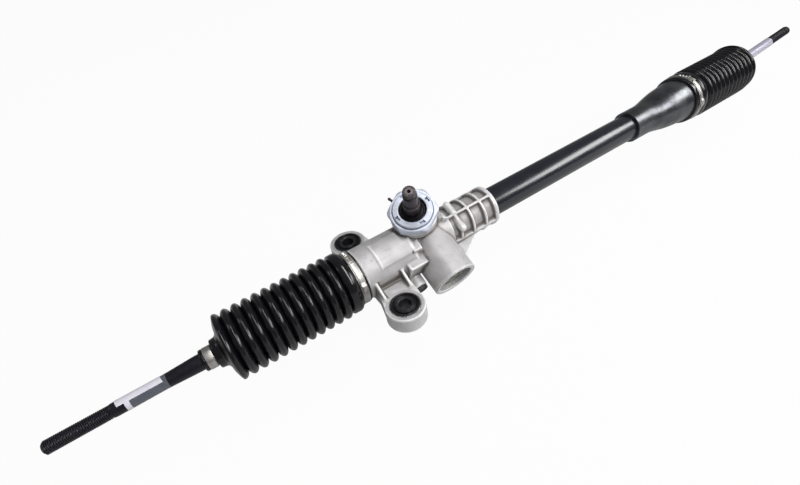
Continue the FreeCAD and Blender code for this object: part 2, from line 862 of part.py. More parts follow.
def tooth_section(turn, station):
    """One wire of the pinion's toothing in the plane across its shaft.

    Each tooth is a pair of involute flanks, drawn as arcs through three points, with a round tip and
    root. A gap faces the rack when turn is nothing.
    """
    teeth = int(SIZES["pinion_teeth"])
    pitch_radius = size("pitch_radius")
    lean = math.radians(size("pinion_lean"))
    transverse = math.atan(math.tan(math.radians(size("pressure_angle"))) / math.cos(lean))
    base_radius = pitch_radius * math.cos(transverse)
    shift = size("profile_shift")
    thickness = math.pi * size("normal_module") / math.cos(lean) / 2
    thickness += 2 * shift * math.tan(transverse) - size("backlash")
    tip = size("pinion_tip_radius")
    root = size("pinion_root_radius")

    def half_angle(radius):
        pressure = math.acos(min(1.0, base_radius / radius))
        return thickness / (2 * pitch_radius) + involute(transverse) - involute(pressure)

    def spot(radius, angle):
        return Vector(station, -radius * math.cos(angle), -radius * math.sin(angle))

    start = max(base_radius, root)
    middle = (start + tip) / 2
    edges = []
    for tooth in range(teeth):
        centre = turn + 2 * math.pi * (tooth + 0.5) / teeth
        left = [centre - half_angle(radius) for radius in (start, middle, tip)]
        right = [centre + half_angle(radius) for radius in (start, middle, tip)]
        next_left = centre + 2 * math.pi / teeth - half_angle(start)
        edges += [
            Part.LineSegment(spot(root, left[0]), spot(start, left[0])).toShape(),
            Part.Arc(spot(start, left[0]), spot(middle, left[1]), spot(tip, left[2])).toShape(),
            Part.Arc(spot(tip, left[2]), spot(tip, centre), spot(tip, right[2])).toShape(),
            Part.Arc(spot(tip, right[2]), spot(middle, right[1]), spot(start, right[0])).toShape(),
            Part.LineSegment(spot(start, right[0]), spot(root, right[0])).toShape(),
            Part.Arc(
                spot(root, right[0]),
                spot(root, (right[0] + next_left) / 2),
                spot(root, next_left),
            ).toShape(),
        ]
    return Part.Wire(edges)


def make_pinion_teeth():
    """Loft of the tooth section along the shaft, turned in step with the helix."""
    half = size("pinion_face_width") / 2
    twist = math.tan(math.radians(size("pinion_lean"))) / size("pitch_radius")
    steps = 5
    stations = [-half + 2 * half * index / (steps - 1) for index in range(steps)]
    teeth = doc.addObject("Part::Feature", "PinionTeeth")
    teeth.Shape = Part.makeLoft([tooth_section(station * twist, station) for station in stations], True)
    return place(teeth, PINION)


pinion_blank = turned(
    "PinionBlank",
    [
        ("-lower_journal_end", "0"),
        ("pinion_tip_end - centre_hole_depth", "0"),
        ("pinion_tip_end", "centre_hole_radius"),
        ("pinion_tip_end", "tip_radius - tip_chamfer"),
        ("pinion_tip_end - tip_chamfer", "tip_radius"),
        ("clamp_groove_end", "tip_radius"),
        ("clamp_groove_end", "clamp_groove_radius"),
        ("clamp_groove_start", "clamp_groove_radius"),
        ("clamp_groove_start", "spline_radius"),
        ("spline_start", "spline_radius"),
        ("spline_start - spline_run_in", "seal_journal_radius"),
        ("bearing_end + ring_thickness", "seal_journal_radius"),
        ("bearing_end + ring_thickness", "bearing_bore_radius - ring_groove_depth"),
        ("bearing_end", "bearing_bore_radius - ring_groove_depth"),
        ("bearing_end", "bearing_bore_radius"),
        ("bearing_station", "bearing_bore_radius"),
        ("bearing_station", "shoulder_radius"),
        ("bearing_station - shoulder_width", "shoulder_radius"),
        ("bearing_station - shoulder_width", "pinion_root_radius"),
        ("-needle_start + journal_shoulder", "pinion_root_radius"),
        ("-needle_start + journal_shoulder", "lower_journal_radius"),
        ("-lower_journal_end", "lower_journal_radius"),
    ],
    PINION,
)
node("pinion_shaft", fused("PinionShaft", [pinion_blank, make_pinion_teeth()]))
node(
    "bearing_inner_race",
    ring("InnerRace", "bearing_station", "bearing_end", "bearing_bore_radius", "race_split", PINION),
)
node(
    "bearing_outer_race",
    ring("OuterRace", "bearing_station", "bearing_end", "race_seat", "bearing_outer_radius", PINION),
)
node(
    "bearing_ball_cage",
    ring(
        "BallCage", "bearing_station + race_round", "bearing_end - race_round",
        "race_split + running_clearance", "race_seat", PINION,
    ),
)
node(
    "bearing_snap_ring",
    ring(
        "SnapRing", "bearing_end", "bearing_end + ring_thickness",
        "bearing_bore_radius - ring_groove_depth", "bearing_bore_radius + ring_wall", PINION,
    ),
)
node(
    "needle_bush",
    ring(
        "NeedleBush", "-lower_journal_end", "-needle_start",
        "lower_journal_radius + running_clearance", "needle_radius", PINION,
    ),
)
node(
    "pinion_bore_cap",
    turned(
        "BoreCap",
        [
            ("-foot_depth", "0"),
            ("-foot_depth + cap_wall", "0"),
            ("-foot_depth + cap_wall", "needle_radius - cap_wall"),
            ("-foot_depth + cap_depth", "needle_radius - cap_wall"),
            ("-foot_depth + cap_depth", "needle_radius"),
            ("-foot_depth", "needle_radius"),
        ],
        PINION,
    ),
)


# Adjusting plug, seal and lock nut on the tower
def make_plug():
    plug = turned(
        "PinionPlug",
        [
            ("bearing_end", "plug_bore_radius + plug_relief"),
            ("seal_bottom", "plug_bore_radius + plug_relief"),
            ("seal_bottom", "plug_bore_radius"),
            ("plug_top", "plug_bore_radius"),
            ("plug_top", "plug_radius - plug_chamfer"),
            ("plug_top - plug_chamfer", "plug_radius"),
            ("bearing_end", "plug_radius"),
        ],
        PINION,
    )
    slot = plug.newObject("PartDesign::Pocket", "SpannerSlot")
    slot.Profile = outline(
        plug,
        "XZ_Plane",
        [
            ("plug_top - slot_depth", "plug_radius - slot_edge - slot_reach"),
            ("plug_top + cutter_overrun", "plug_radius - slot_edge - slot_reach"),
            ("plug_top + cutter_overrun", "plug_radius - slot_edge"),
            ("plug_top - slot_depth", "plug_radius - slot_edge"),
        ],
    )
    slot.Midplane = True
    slot.setExpression("Length", bind("slot_width"))
    slots = plug.newObject("PartDesign::PolarPattern", "SpannerSlots")
    slots.Originals = [slot]
    slots.Axis = (slot.Profile[0], ["H_Axis"])
    slots.Angle = 360
    slots.setExpression("Occurrences", bind("plug_slots"))
    plug.Tip = slots
    return place(plug, PINION + " * " + frame_at(turn_axis="1; 0; 0", angle="45"))


node("pinion_plug", make_plug())
node(
    "pinion_seal",
    turned(
        "PinionSeal",
        [
            ("seal_bottom", "seal_journal_radius + running_clearance + seal_groove"),
            ("seal_top - seal_lip", "seal_journal_radius + running_clearance + seal_groove"),
            ("seal_top - seal_lip", "seal_journal_radius + running_clearance"),
            ("seal_top", "seal_journal_radius + running_clearance"),
            ("seal_top", "plug_bore_radius - seal_groove"),
            ("seal_top + seal_crown", "plug_bore_radius - seal_crown_width"),
            ("seal_top + seal_crown", "plug_bore_radius"),
            ("seal_bottom", "plug_bore_radius"),
        ],
        PINION,
    ),
)


def make_lock_nut():
    frame = PINION + " * " + frame_at("tower_top", "0", "0", "0; 1; 0", "90")
    hexagon = primitive(
        "Part::Prism", "NutHexagon", frame + " * " + frame_at(angle="nut_turn"),
        Circumradius="nut_flats / sqrt(3)", Height="nut_height",
    )
    hexagon.Polygon = 6
    corners = turned(
        "NutCorners",
        [
            ("tower_top", "0"),
            ("tower_top + nut_height", "0"),
            ("tower_top + nut_height", "nut_flats / 2 - nut_face_inset"),
            ("tower_top + nut_height - nut_chamfer", "nut_corner_radius"),
            ("tower_top + nut_chamfer", "nut_corner_radius"),
            ("tower_top", "nut_flats / 2"),
        ],
        PINION,
    )
    bore = primitive("Part::Cylinder", "NutBore", frame, Radius="plug_radius", Height="nut_height")
    return cut("LockNut", common("NutBlank", [hexagon, corners]), bore)


node("pinion_lock_nut", make_lock_nut())


# Support yoke
def make_support_yoke():
    blank = turned(
        "YokeBlank",
        [
            ("yoke_front", "0"),
            ("yoke_back - yoke_pocket_depth", "0"),
            ("yoke_back - yoke_pocket_depth", "yoke_pocket_radius"),
            ("yoke_back", "yoke_pocket_radius"),
            ("yoke_back", "yoke_radius"),
            ("o_ring_station + o_ring_wire", "yoke_radius"),
            ("o_ring_station + o_ring_wire", "yoke_radius - o_ring_wire"),
            ("o_ring_station", "yoke_radius - o_ring_wire"),
            ("o_ring_station", "yoke_radius"),
            ("yoke_front", "yoke_radius"),
        ],
        DAMPER,
    )
    half = "yoke_radius + cutter_overrun"
    cradle = ring("YokeCradle", f"-({half})", half, "0", "yoke_seat_radius", TOWER)
    return cut("SupportYoke", blank, cradle)


def make_yoke_liner():
    sheet_ring = ring("LinerSheet", "-yoke_radius", "yoke_radius", "liner_radius", "yoke_seat_radius", TOWER)
    window = ring(
        "LinerWindow", "yoke_front + liner_inset", "yoke_back", "0", "yoke_radius - liner_inset", DAMPER,
    )
    return common("YokeLiner", [sheet_ring, window])


def make_yoke_spring():
    """A coil of square wire, swept along a helix between the pocket's floor and the plug."""
    wire = size("spring_wire")
    coil = size("spring_radius")
    start = size("yoke_back - yoke_pocket_depth")
    rise = size("yoke_plug_start") - start - wire
    helix = Part.makeHelix(rise / size("spring_turns"), rise, coil)
    corners = [
        Vector(coil - wire / 2, 0, -wire / 2),
        Vector(coil + wire / 2, 0, -wire / 2),
        Vector(coil + wire / 2, 0, wire / 2),
        Vector(coil - wire / 2, 0, wire / 2),
    ]
    section = Part.makePolygon(corners + corners[:1])
    spring = doc.addObject("Part::Feature", "YokeSpring")
    spring.Shape = Part.Wire(helix).makePipeShell([section], True, True)
    station = "yoke_back - yoke_pocket_depth + spring_wire / 2"
    return place(spring, DAMPER + " * " + frame_at(station, "0", "0", "0; 1; 0", "90"))


def make_yoke_plug():
    disc = ring("YokePlugDisc", "yoke_plug_start", "yoke_plug_end", "0", "yoke_plug_radius", DAMPER)
    hex_start = "yoke_plug_end - yoke_plug_hex_depth"
    socket_frame = DAMPER + " * " + frame_at(hex_start, "0", "0", "0; 1; 0", "90")
    socket = primitive(
        "Part::Prism", "YokePlugHex", socket_frame,
        Circumradius="yoke_plug_hex / sqrt(3)", Height="yoke_plug_hex_depth + cutter_overrun",
    )
    socket.Polygon = 6
    return cut("YokePlug", disc, socket)


node("support_yoke", make_support_yoke())
node("yoke_liner", make_yoke_liner())
node("yoke_spring", make_yoke_spring())
node(
    "yoke_o_ring",
    ring(
        "YokeORing", "o_ring_station", "o_ring_station + o_ring_wire",
        "yoke_radius - o_ring_wire", "yoke_radius", DAMPER,
    ),
)
node("yoke_plug", make_yoke_plug())


# Inner ball joints, tie rods, boots and clamps, the same at both ends
def make_ball_joint(side):
    name = side.title()
    face = outward_frame(side, f"{side}_face")
    blank = turned(
        name + "SocketBlank",
        [
            ("-stud_length - washer_thickness", "0"),
            ("seat_start", "0"),
            ("seat_start", "seat_radius"),
            ("seat_end", "seat_radius"),
            ("seat_end", "socket_throat_radius"),
            ("socket_length", "socket_mouth_radius"),
            ("socket_length", "socket_lip_radius"),
            ("socket_length - socket_lip_length", "socket_radius"),
            ("0", "socket_radius"),
            ("0", "stud_radius"),
            ("-stud_length - washer_thickness", "stud_radius"),
        ],
        face,
    )
    node(f"{side}_ball_socket", blank)
    node(
        f"{side}_lock_washer",
        ring(name + "Washer", "-washer_thickness", "0", "stud_radius", "washer_radius", face),
    )
    cup = ring(name + "SeatCup", "seat_start", "seat_end", "0", "seat_radius", face)
    centre = face + " * " + frame_at("ball_inset")
    ball_space = primitive("Part::Sphere", name + "BallSpace", centre, Radius="seat_ball_radius")
    node(f"{side}_ball_seat", cut(name + "BallSeat", cup, ball_space))


def make_tie_rod(side):
    name = side.title()
    ball_station = "left_ball" if side == "left" else "right_ball_station"
    swung = outward_frame(side, ball_station, f"{side}_rod_lift", f"{side}_rod_swing")
    shank = turned(
        name + "Shank",
        [
            ("0", "0"),
            ("rod_length", "0"),
            ("rod_length", "thread_radius - thread_chamfer"),
            ("rod_length - thread_chamfer", "thread_radius"),
            ("thread_start", "thread_radius"),
            ("thread_start - thread_run_in", "rod_shank_radius"),
            ("rod_taper_end", "rod_shank_radius"),
            ("rod_taper_start", "rod_radius"),
            ("neck_end + neck_taper", "rod_radius"),
            ("neck_end", "neck_radius"),
            ("0", "neck_radius"),
        ],
        swung,
    )
    ball = primitive("Part::Sphere", name + "Ball", swung, Radius="ball_radius")
    node(f"{side}_tie_rod", fused(name + "TieRod", [shank, ball]))
    return swung


def make_boot(side, swung):
    """A bellows: a cuff on the gear, a row of ridges and a small cuff on the tie rod."""
    name = side.title()
    lip = f"{side}_boot_lip"
    pitch = f"{side}_ridge_pitch"
    sign = "-1" if side == "left" else "1"
    ball_station = "left_ball" if side == "left" else "right_ball_station"
    seat = "boot_seat_radius" if side == "left" else "sleeve_end_radius"
    frame = outward_frame(side, lip)
    last = f"(first_ridge + (boot_ridges - 1) * {pitch})"
    cuff_outer = f"{seat} + boot_wall"
    ridges = int(SIZES["boot_ridges"])
    corners = [
        ("0", seat),
        ("boot_seat_length + boot_relief", seat),
        (f"first_ridge - {pitch} / 2", "valley_radius - boot_wall"),
        (f"{last} + {pitch} / 2", "valley_radius - boot_wall"),
        (f"{last} + {pitch} / 2", "valley_radius"),
    ]
    for index in reversed(range(ridges)):
        corners.append((f"first_ridge + {index} * {pitch}", "ridge_radius"))
        corners.append((f"first_ridge + ({index} - 0.5) * {pitch}", "valley_radius"))
    corners += [
        ("shoulder_end", "boot_shoulder_radius"),
        ("shoulder_start", "boot_shoulder_radius"),
        ("cuff_length", cuff_outer),
        ("0", cuff_outer),
    ]
    bellows = turned(name + "Bellows", corners, frame)
    reach = f"({lip} * {sign} - {ball_station} * {sign} + {last})"
    end_wall = turned(
        name + "BootEnd",
        [
            (f"{reach} + small_cuff_start", "rod_radius"),
            (f"{reach} + small_cuff_start + small_cuff_length", "rod_radius"),
            (f"{reach} + small_cuff_start + small_cuff_length", "small_cuff_radius"),
            (f"{reach} + small_cuff_start", "small_cuff_radius"),
            (f"{reach} + neck_step", "boot_neck_radius"),
            (f"{reach} + {pitch} / 2", "valley_radius"),
            (f"{reach} - boot_end_wall", "valley_radius + boot_end_lap"),
            (f"{reach} - boot_end_wall", "valley_radius - boot_wall"),
            (f"{reach} + {pitch} / 2 - boot_end_wall", "valley_radius - boot_wall"),
            (f"{reach} + neck_step - boot_end_wall", "boot_neck_radius - boot_wall"),
        ],
        swung,
    )
    node(f"{side}_boot", fused(name + "Boot", [bellows, end_wall]))
    clamp_start = "large_clamp_station"
    clamp_end = "large_clamp_station + large_clamp_width"
    band = ring(
        name + "Band", clamp_start, clamp_end, cuff_outer, f"{cuff_outer} + clamp_thickness", frame,
    )
    buckle = slab(
        name + "Buckle",
        "XZ_Plane",
        [
            (f"{clamp_start} + buckle_margin", f"{cuff_outer} + clamp_thickness / 2"),
            (f"{clamp_end} - buckle_margin", f"{cuff_outer} + clamp_thickness / 2"),
            (f"{clamp_end} - buckle_margin", f"{cuff_outer} + buckle_height"),
            (f"{clamp_start} + buckle_margin", f"{cuff_outer} + buckle_height"),
        ],
        "buckle_length",
        frame,
    )
    node(f"{side}_large_clamp", fused(name + "LargeClamp", [band, buckle]))
    small_start = f"{reach} + small_cuff_start + small_cuff_length - small_clamp_inset - small_clamp_width"
    node(
        f"{side}_small_clamp",
        ring(
            name + "SmallClamp", small_start, f"{small_start} + small_clamp_width",
            "small_cuff_radius", "small_cuff_radius + small_clamp_thickness", swung,
        ),
    )


for side in ("left", "right"):
    make_ball_joint(side)
    make_boot(side, make_tie_rod(side))

doc.recompute()

# Checks and export
for item in doc.Objects:
    faults = {"Invalid", "Error"} & set(item.State)
    if faults:
        raise RuntimeError(f"{item.Label} is {faults}")
for piece in NODES:
    if piece.Shape.isNull() or not piece.Shape.isValid():
        raise RuntimeError(f"{piece.Label} has no valid shape")
os.makedirs("parts", exist_ok=True)
for piece in NODES:
    piece.Shape.exportStep(f"parts/{piece.Label}.step")
    print(piece.Label, len(piece.Shape.Solids), round(piece.Shape.Volume))
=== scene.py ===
"""A rack and pinion steering gear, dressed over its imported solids.

The classes hold their sizes in millimetres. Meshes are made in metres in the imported
model's frame: +X along the rack, +Y to the rear lug, +Z along the mounting bolts.
"""
import json
import logging
import math
from dataclasses import dataclass
from enum import Enum
from typing import Optional, Sequence

import bmesh
import bpy
import numpy as np
from mathutils import Matrix, Vector


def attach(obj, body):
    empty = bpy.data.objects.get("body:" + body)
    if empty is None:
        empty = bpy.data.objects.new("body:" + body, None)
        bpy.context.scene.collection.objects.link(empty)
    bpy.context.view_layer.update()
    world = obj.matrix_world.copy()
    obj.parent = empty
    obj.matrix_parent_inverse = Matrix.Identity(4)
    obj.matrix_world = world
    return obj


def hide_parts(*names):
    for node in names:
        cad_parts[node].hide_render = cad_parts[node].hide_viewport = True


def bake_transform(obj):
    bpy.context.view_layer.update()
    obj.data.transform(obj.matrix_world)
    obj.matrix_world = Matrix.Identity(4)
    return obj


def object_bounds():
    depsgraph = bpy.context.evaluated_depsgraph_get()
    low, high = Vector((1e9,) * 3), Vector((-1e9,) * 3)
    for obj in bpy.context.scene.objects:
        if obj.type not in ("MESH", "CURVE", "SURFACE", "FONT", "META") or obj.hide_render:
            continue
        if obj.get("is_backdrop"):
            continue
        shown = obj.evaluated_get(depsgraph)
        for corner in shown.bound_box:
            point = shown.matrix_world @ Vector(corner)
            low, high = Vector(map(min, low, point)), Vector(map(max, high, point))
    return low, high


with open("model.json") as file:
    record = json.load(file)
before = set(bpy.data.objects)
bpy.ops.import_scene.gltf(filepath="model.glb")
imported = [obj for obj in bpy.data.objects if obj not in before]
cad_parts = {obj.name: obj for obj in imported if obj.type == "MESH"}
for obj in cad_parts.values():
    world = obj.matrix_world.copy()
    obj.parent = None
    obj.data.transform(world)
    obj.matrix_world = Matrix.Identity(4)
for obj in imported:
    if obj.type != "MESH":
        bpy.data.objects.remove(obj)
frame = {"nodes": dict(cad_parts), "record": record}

log = logging.getLogger("steering_gear")

MM = 0.001
RACK_HEIGHT = 24.5
TOWER_TILT = math.radians(23.3)
PINION_LEAN = math.radians(13.65)
PINION_STATION = 63.0
PINION_OFFSET = 15.553
LUG_OFFSET = 56.65
LUG_TOP = 19.2
BUSH_RADIUS = 14.9
THREAD_PITCH = 1.5
FULL_TURN = 2 * math.pi

Colour = tuple[float, float, float]
Spread = tuple[float, float, float]

EVEN: Spread = (1.0, 1.0, 1.0)
ALONG_RACK: Spread = (0.04, 1.0, 1.0)
ROUND_RACK: Spread = (1.0, 0.04, 0.04)

# What part of a noise's or a bend's range a finish makes use of, as from and to
CLOUD_RANGE = (0.35, 0.65)
HAZE_RANGE = (0.3, 0.7)
FLOOR_RANGE = (0.3, 0.7)
# Hollows get the finish's painted shade and edges get its wear, by these ranges of the bend or pointiness
SURVEYED_HOLLOWS, SURVEYED_EDGES = (-0.06, -0.85), (0.3, 1.1)
POINTED_HOLLOWS, POINTED_EDGES = (0.49, 0.44), (0.52, 0.58)
SPECK_EDGE, SPECK_SPAN, SPECK_BLUR = 0.62, 0.16, 0.035
BEND = "bend_of_the_casting"

# Bends in degrees above which an edge stays sharp
CRISP = 35.0
SOFT = 50.0


class Body(Enum):
    """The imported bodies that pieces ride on."""

    HOUSING = "gear_housing"
    RACK = "rack_assembly"
    PINION = "pinion_assembly"
    LEFT_ROD = "left_rod"
    RIGHT_ROD = "right_rod"


class Side(Enum):
    """The two ends of the gear."""

    LEFT = "left"
    RIGHT = "right"

    @property
    def sign(self) -> int:
        """Which way along X this end lies."""
        return -1 if self is Side.LEFT else 1


# Finishes


@dataclass(frozen=True)
class Grain:
    """One layer of fine relief: bumps of a size and a depth, in millimetres."""

    size: float
    depth: float
    detail: float = 2.0
    stretch: Spread = EVEN


@dataclass(frozen=True)
class Specks:
    """Scattered spots of another colour: pits, dust or stains."""

    size: float
    share: float
    colour: Colour
    depth: float = 0.0


class Nodes:
    """Adds and links the nodes of one tree."""

    def __init__(self, tree: bpy.types.NodeTree) -> None:
        """Work on a tree."""
        self.tree = tree

    def add(self, kind: str, **settings: object) -> bpy.types.Node:
        """Add one node and set its plain properties."""
        made = self.tree.nodes.new(kind)
        for key, value in settings.items():
            setattr(made, key, value)
        return made

    def feed(self, target: bpy.types.NodeSocket, source: object) -> None:
        """Link a socket to a socket, or set it to a plain value."""
        if isinstance(source, bpy.types.NodeSocket):
            self.tree.links.new(source, target)
        else:
            target.default_value = source


class Recipe(Nodes):
    """Builds the shader nodes of one material."""

    def __init__(self, name: str) -> None:
        """Start a material with a plain principled shader."""
        self.material = bpy.data.materials.new(name)
        self.material.use_nodes = True
        super().__init__(self.material.node_tree)
        self.shader = self.tree.nodes["Principled BSDF"]
        self.place = self.add("ShaderNodeTexCoord").outputs["Object"]

    def set_shader(self, settings: dict[str, object]) -> None:
        """Feed the shader's named inputs."""
        for key, source in settings.items():
            self.feed(self.shader.inputs[key], source)

    def noise(
        self, size: float, detail: float = 2.0, stretch: Spread = EVEN, shift: float = 0.0,
    ) -> bpy.types.NodeSocket:
        """Noise over the object's own coordinates.

        Args:
            size: width of a bump in millimetres.
            detail: octaves of finer noise.
            stretch: how much the pattern is packed along each axis.
            shift: moves the pattern, so that two layers differ.

        Returns:
            The noise's grey value, about a half on average.
        """
        mapping = self.add("ShaderNodeMapping")
        self.feed(mapping.inputs["Vector"], self.place)
        mapping.inputs["Scale"].default_value = stretch
        mapping.inputs["Location"].default_value = (shift, shift * 0.7, shift * 1.3)
        made = self.add("ShaderNodeTexNoise")
        self.feed(made.inputs["Vector"], mapping.outputs["Vector"])
        made.inputs["Scale"].default_value = 1.0 / (size * MM)
        made.inputs["Detail"].default_value = detail
        return made.outputs["Fac"]

    def ranged(
        self, value: bpy.types.NodeSocket, low: float, high: float, to_low: float = 0.0,
        to_high: float = 1.0,
    ) -> bpy.types.NodeSocket:
        """Stretch a value's range low..high to to_low..to_high, held at its ends."""
        made = self.add("ShaderNodeMapRange")
        self.feed(made.inputs["Value"], value)
        ends = {"From Min": low, "From Max": high, "To Min": to_low, "To Max": to_high}
        for key, number in ends.items():
            made.inputs[key].default_value = number
        return made.outputs["Result"]

    def mixed(self, factor: bpy.types.NodeSocket, first: object, second: object) -> bpy.types.NodeSocket:
        """Blend two colours by a factor."""
        made = self.add("ShaderNodeMix", data_type="RGBA")
        self.feed(made.inputs["Factor"], factor)
        for key, colour in (("A", first), ("B", second)):
            socket = next(s for s in made.inputs if s.name == key and s.type == "RGBA")
            self.feed(socket, colour if isinstance(colour, bpy.types.NodeSocket) else (*colour, 1.0))
        return next(s for s in made.outputs if s.type == "RGBA")

    def raised(
        self, height: bpy.types.NodeSocket, depth: float, normal: Optional[bpy.types.NodeSocket],
    ) -> bpy.types.NodeSocket:
        """Add one layer of relief of a depth in millimetres over earlier layers."""
        made = self.add("ShaderNodeBump")
        made.inputs["Strength"].default_value = 1.0
        made.inputs["Distance"].default_value = depth * MM
        self.feed(made.inputs["Height"], height)
        if normal is not None:
            self.feed(made.inputs["Normal"], normal)
        return made.outputs["Normal"]


@dataclass(frozen=True)
class Finish:
    """A surface: two clouded colours, a wandering roughness, relief, specks and edge wear."""

    name: str
    slot: str
    colour: Colour
    shade: Colour
    metallic: float = 0.0
    roughness: float = 0.5
    haze: float = 0.08
    cloud: float = 12.0
    cloud_stretch: Spread = EVEN
    grains: tuple[Grain, ...] = ()
    specks: tuple[Specks, ...] = ()
    worn: Optional[Colour] = None
    # Colour of the painted shade laid into hollows
    painted_shade: Optional[Colour] = None
    surveyed: bool = False
    coat: float = 0.0
    coat_roughness: float = 0.08
    specular: float = 0.5

    def shade_painted_and_worn(self, recipe: Recipe, colour: bpy.types.NodeSocket) -> bpy.types.NodeSocket:
        """Lay painted shade into the hollows and wear onto the edges of a colour.

        A surveyed finish finds them from the bend stored in its mesh, and the others from
        how pointed the surface is.

        Args:
            recipe: the material's nodes.
            colour: the colour that they are laid on.

        Returns:
            The colour with its painted shade and wear.
        """
        if self.surveyed:
            bend = recipe.add("ShaderNodeAttribute", attribute_name=BEND).outputs["Fac"]
            hollows, edges = SURVEYED_HOLLOWS, SURVEYED_EDGES
        else:
            bend = recipe.add("ShaderNodeNewGeometry").outputs["Pointiness"]
            hollows, edges = POINTED_HOLLOWS, POINTED_EDGES
        # Hollows get painted shade, and edges get wear
        for layer, span in ((self.painted_shade, hollows), (self.worn, edges)):
            if layer is not None:
                colour = recipe.mixed(recipe.ranged(bend, *span), colour, layer)
        return colour

    def material(self) -> bpy.types.Material:
        """Make the material, or find it if it was made before.

        Returns:
            The node material of this finish.
        """
        known = bpy.data.materials.get(self.name)
        if known is not None:
            return known
        recipe = Recipe(self.name)
        clouds = recipe.ranged(recipe.noise(self.cloud, 4.0, self.cloud_stretch), *CLOUD_RANGE)
        colour = recipe.mixed(clouds, self.colour, self.shade)
        haze = recipe.noise(self.cloud * 0.45, 5.0, self.cloud_stretch, 3.1)
        rough = recipe.ranged(haze, *HAZE_RANGE, self.roughness - self.haze, self.roughness + self.haze)
        normal = None
        for index, spots in enumerate(self.specks):
            dots = recipe.noise(spots.size, 1.0, shift=7.7 + 2.3 * index)
            edge = SPECK_EDGE + SPECK_SPAN * (1.0 - spots.share)
            mask = recipe.ranged(dots, edge, edge + SPECK_BLUR)
            colour = recipe.mixed(mask, colour, spots.colour)
            if spots.depth:
                normal = recipe.raised(recipe.ranged(mask, 0.0, 1.0, 1.0, 0.0), spots.depth, normal)
        if self.painted_shade or self.worn:
            colour = self.shade_painted_and_worn(recipe, colour)
        for index, grain in enumerate(self.grains):
            height = recipe.noise(grain.size, grain.detail, grain.stretch, 1.7 * index)
            normal = recipe.raised(height, grain.depth, normal)
        if normal is not None:
            recipe.feed(recipe.shader.inputs["Normal"], normal)
        recipe.set_shader({
            "Base Color": colour, "Roughness": rough, "Metallic": self.metallic, "Coat Weight": self.coat,
            "Coat Roughness": self.coat_roughness, "Specular IOR Level": self.specular,
        })
        return recipe.material


# Cast aluminium: its darkened hollows are painted shade, and its brightened edges are wear
CAST_ALUMINIUM = Finish(
    "cast_aluminium", "housing_cast", (0.54, 0.53, 0.53), (0.44, 0.425, 0.43), metallic=0.25, roughness=0.5,
    haze=0.07, cloud=16.0, grains=(Grain(7.0, 0.14), Grain(1.1, 0.06, 3.0), Grain(0.35, 0.015, 1.0)),
    specks=(Specks(1.7, 0.3, (0.15, 0.135, 0.14), 0.2), Specks(6.0, 0.45, (0.42, 0.40, 0.40))),
    worn=(0.78, 0.775, 0.77), painted_shade=(0.15, 0.135, 0.125), surveyed=True,
)
# Machined aluminium of the damper's mouth, darkened far below bare metal: its dark colour is painted shade
# inside the bore
CUT_ALUMINIUM_PAINTED_SHADE = Finish(
    "machined_aluminium_painted_shade", "housing_cast", (0.16, 0.165, 0.14), (0.05, 0.052, 0.044), metallic=0.85,
    roughness=0.26, haze=0.05, cloud=4.0, grains=(Grain(0.5, 0.006, 1.0),),
)
BUSH_STEEL = Finish(
    "bush_shell_steel", "bush_steel", (0.58, 0.58, 0.60), (0.42, 0.42, 0.44), metallic=0.9, roughness=0.3,
    cloud=5.0, grains=(Grain(0.6, 0.01),),
)
# Bolt sleeve: its near-black colour is partly the sleeve's own dark finish and partly painted shade inside
# the bolt hole
SLEEVE_STEEL = Finish(
    "bush_sleeve_steel", "bush_steel", (0.030, 0.028, 0.031), (0.018, 0.016, 0.018), metallic=0.3,
    roughness=0.34, cloud=4.0, grains=(Grain(0.5, 0.01),),
)
BUSH_RUBBER = Finish(
    "bush_rubber_black", "bush_rubber", (0.006, 0.006, 0.008), (0.011, 0.011, 0.013), roughness=0.34,
    cloud=6.0, grains=(Grain(0.7, 0.012),), specular=0.35,
)
CAP_RUBBER = Finish(
    "boss_cap_rubber", "cap_rubber", (0.03, 0.03, 0.03), (0.05, 0.05, 0.048), roughness=0.6, haze=0.1,
    cloud=4.0, grains=(Grain(0.6, 0.02),),
)
GLOSS_BLACK = Finish(
    "gloss_black_paint", "tube_paint", (0.005, 0.006, 0.011), (0.008, 0.009, 0.015), roughness=0.24,
    haze=0.03, cloud=40.0, grains=(Grain(3.0, 0.002, 1.0),), specks=(Specks(0.9, 0.3, (0.05, 0.05, 0.06)),),
    specular=0.75,
)
SATIN_SLEEVE = Finish(
    "satin_dark_sleeve", "sleeve_paint", (0.130, 0.136, 0.140), (0.060, 0.062, 0.070), metallic=0.9,
    roughness=0.30, haze=0.06, cloud=26.0, grains=(Grain(4.0, 0.003, 1.0),),
    specks=(Specks(1.0, 0.3, (0.40, 0.41, 0.41)),),
)
BEARING_PLASTIC = Finish(
    "bearing_plastic_ivory", "bearing_plastic", (0.72, 0.70, 0.62), (0.66, 0.64, 0.56), roughness=0.45,
    haze=0.06, cloud=5.0, grains=(Grain(0.5, 0.01),),
)
SPRING_STEEL = Finish(
    "oiled_spring_steel", "spring_steel", (0.30, 0.30, 0.31), (0.20, 0.20, 0.21), metallic=0.9,
    roughness=0.33, cloud=3.0, grains=(Grain(0.4, 0.008),),
)
BEARING_STEEL = Finish(
    "ground_bearing_steel", "bearing_steel", (0.66, 0.66, 0.68), (0.56, 0.56, 0.58), metallic=1.0,
    roughness=0.16, haze=0.05, cloud=4.0, grains=(Grain(0.4, 0.003, 1.0),),
)
ZINC = Finish(
    "bright_zinc_plate", "zinc_plate", (0.60, 0.63, 0.73), (0.51, 0.54, 0.63), metallic=0.25,
    roughness=0.40, haze=0.06, cloud=7.0, grains=(Grain(0.7, 0.008), Grain(4.0, 0.02, 1.0)),
    specks=(Specks(1.3, 0.3, (0.30, 0.31, 0.35)),), worn=(0.62, 0.66, 0.74),
)
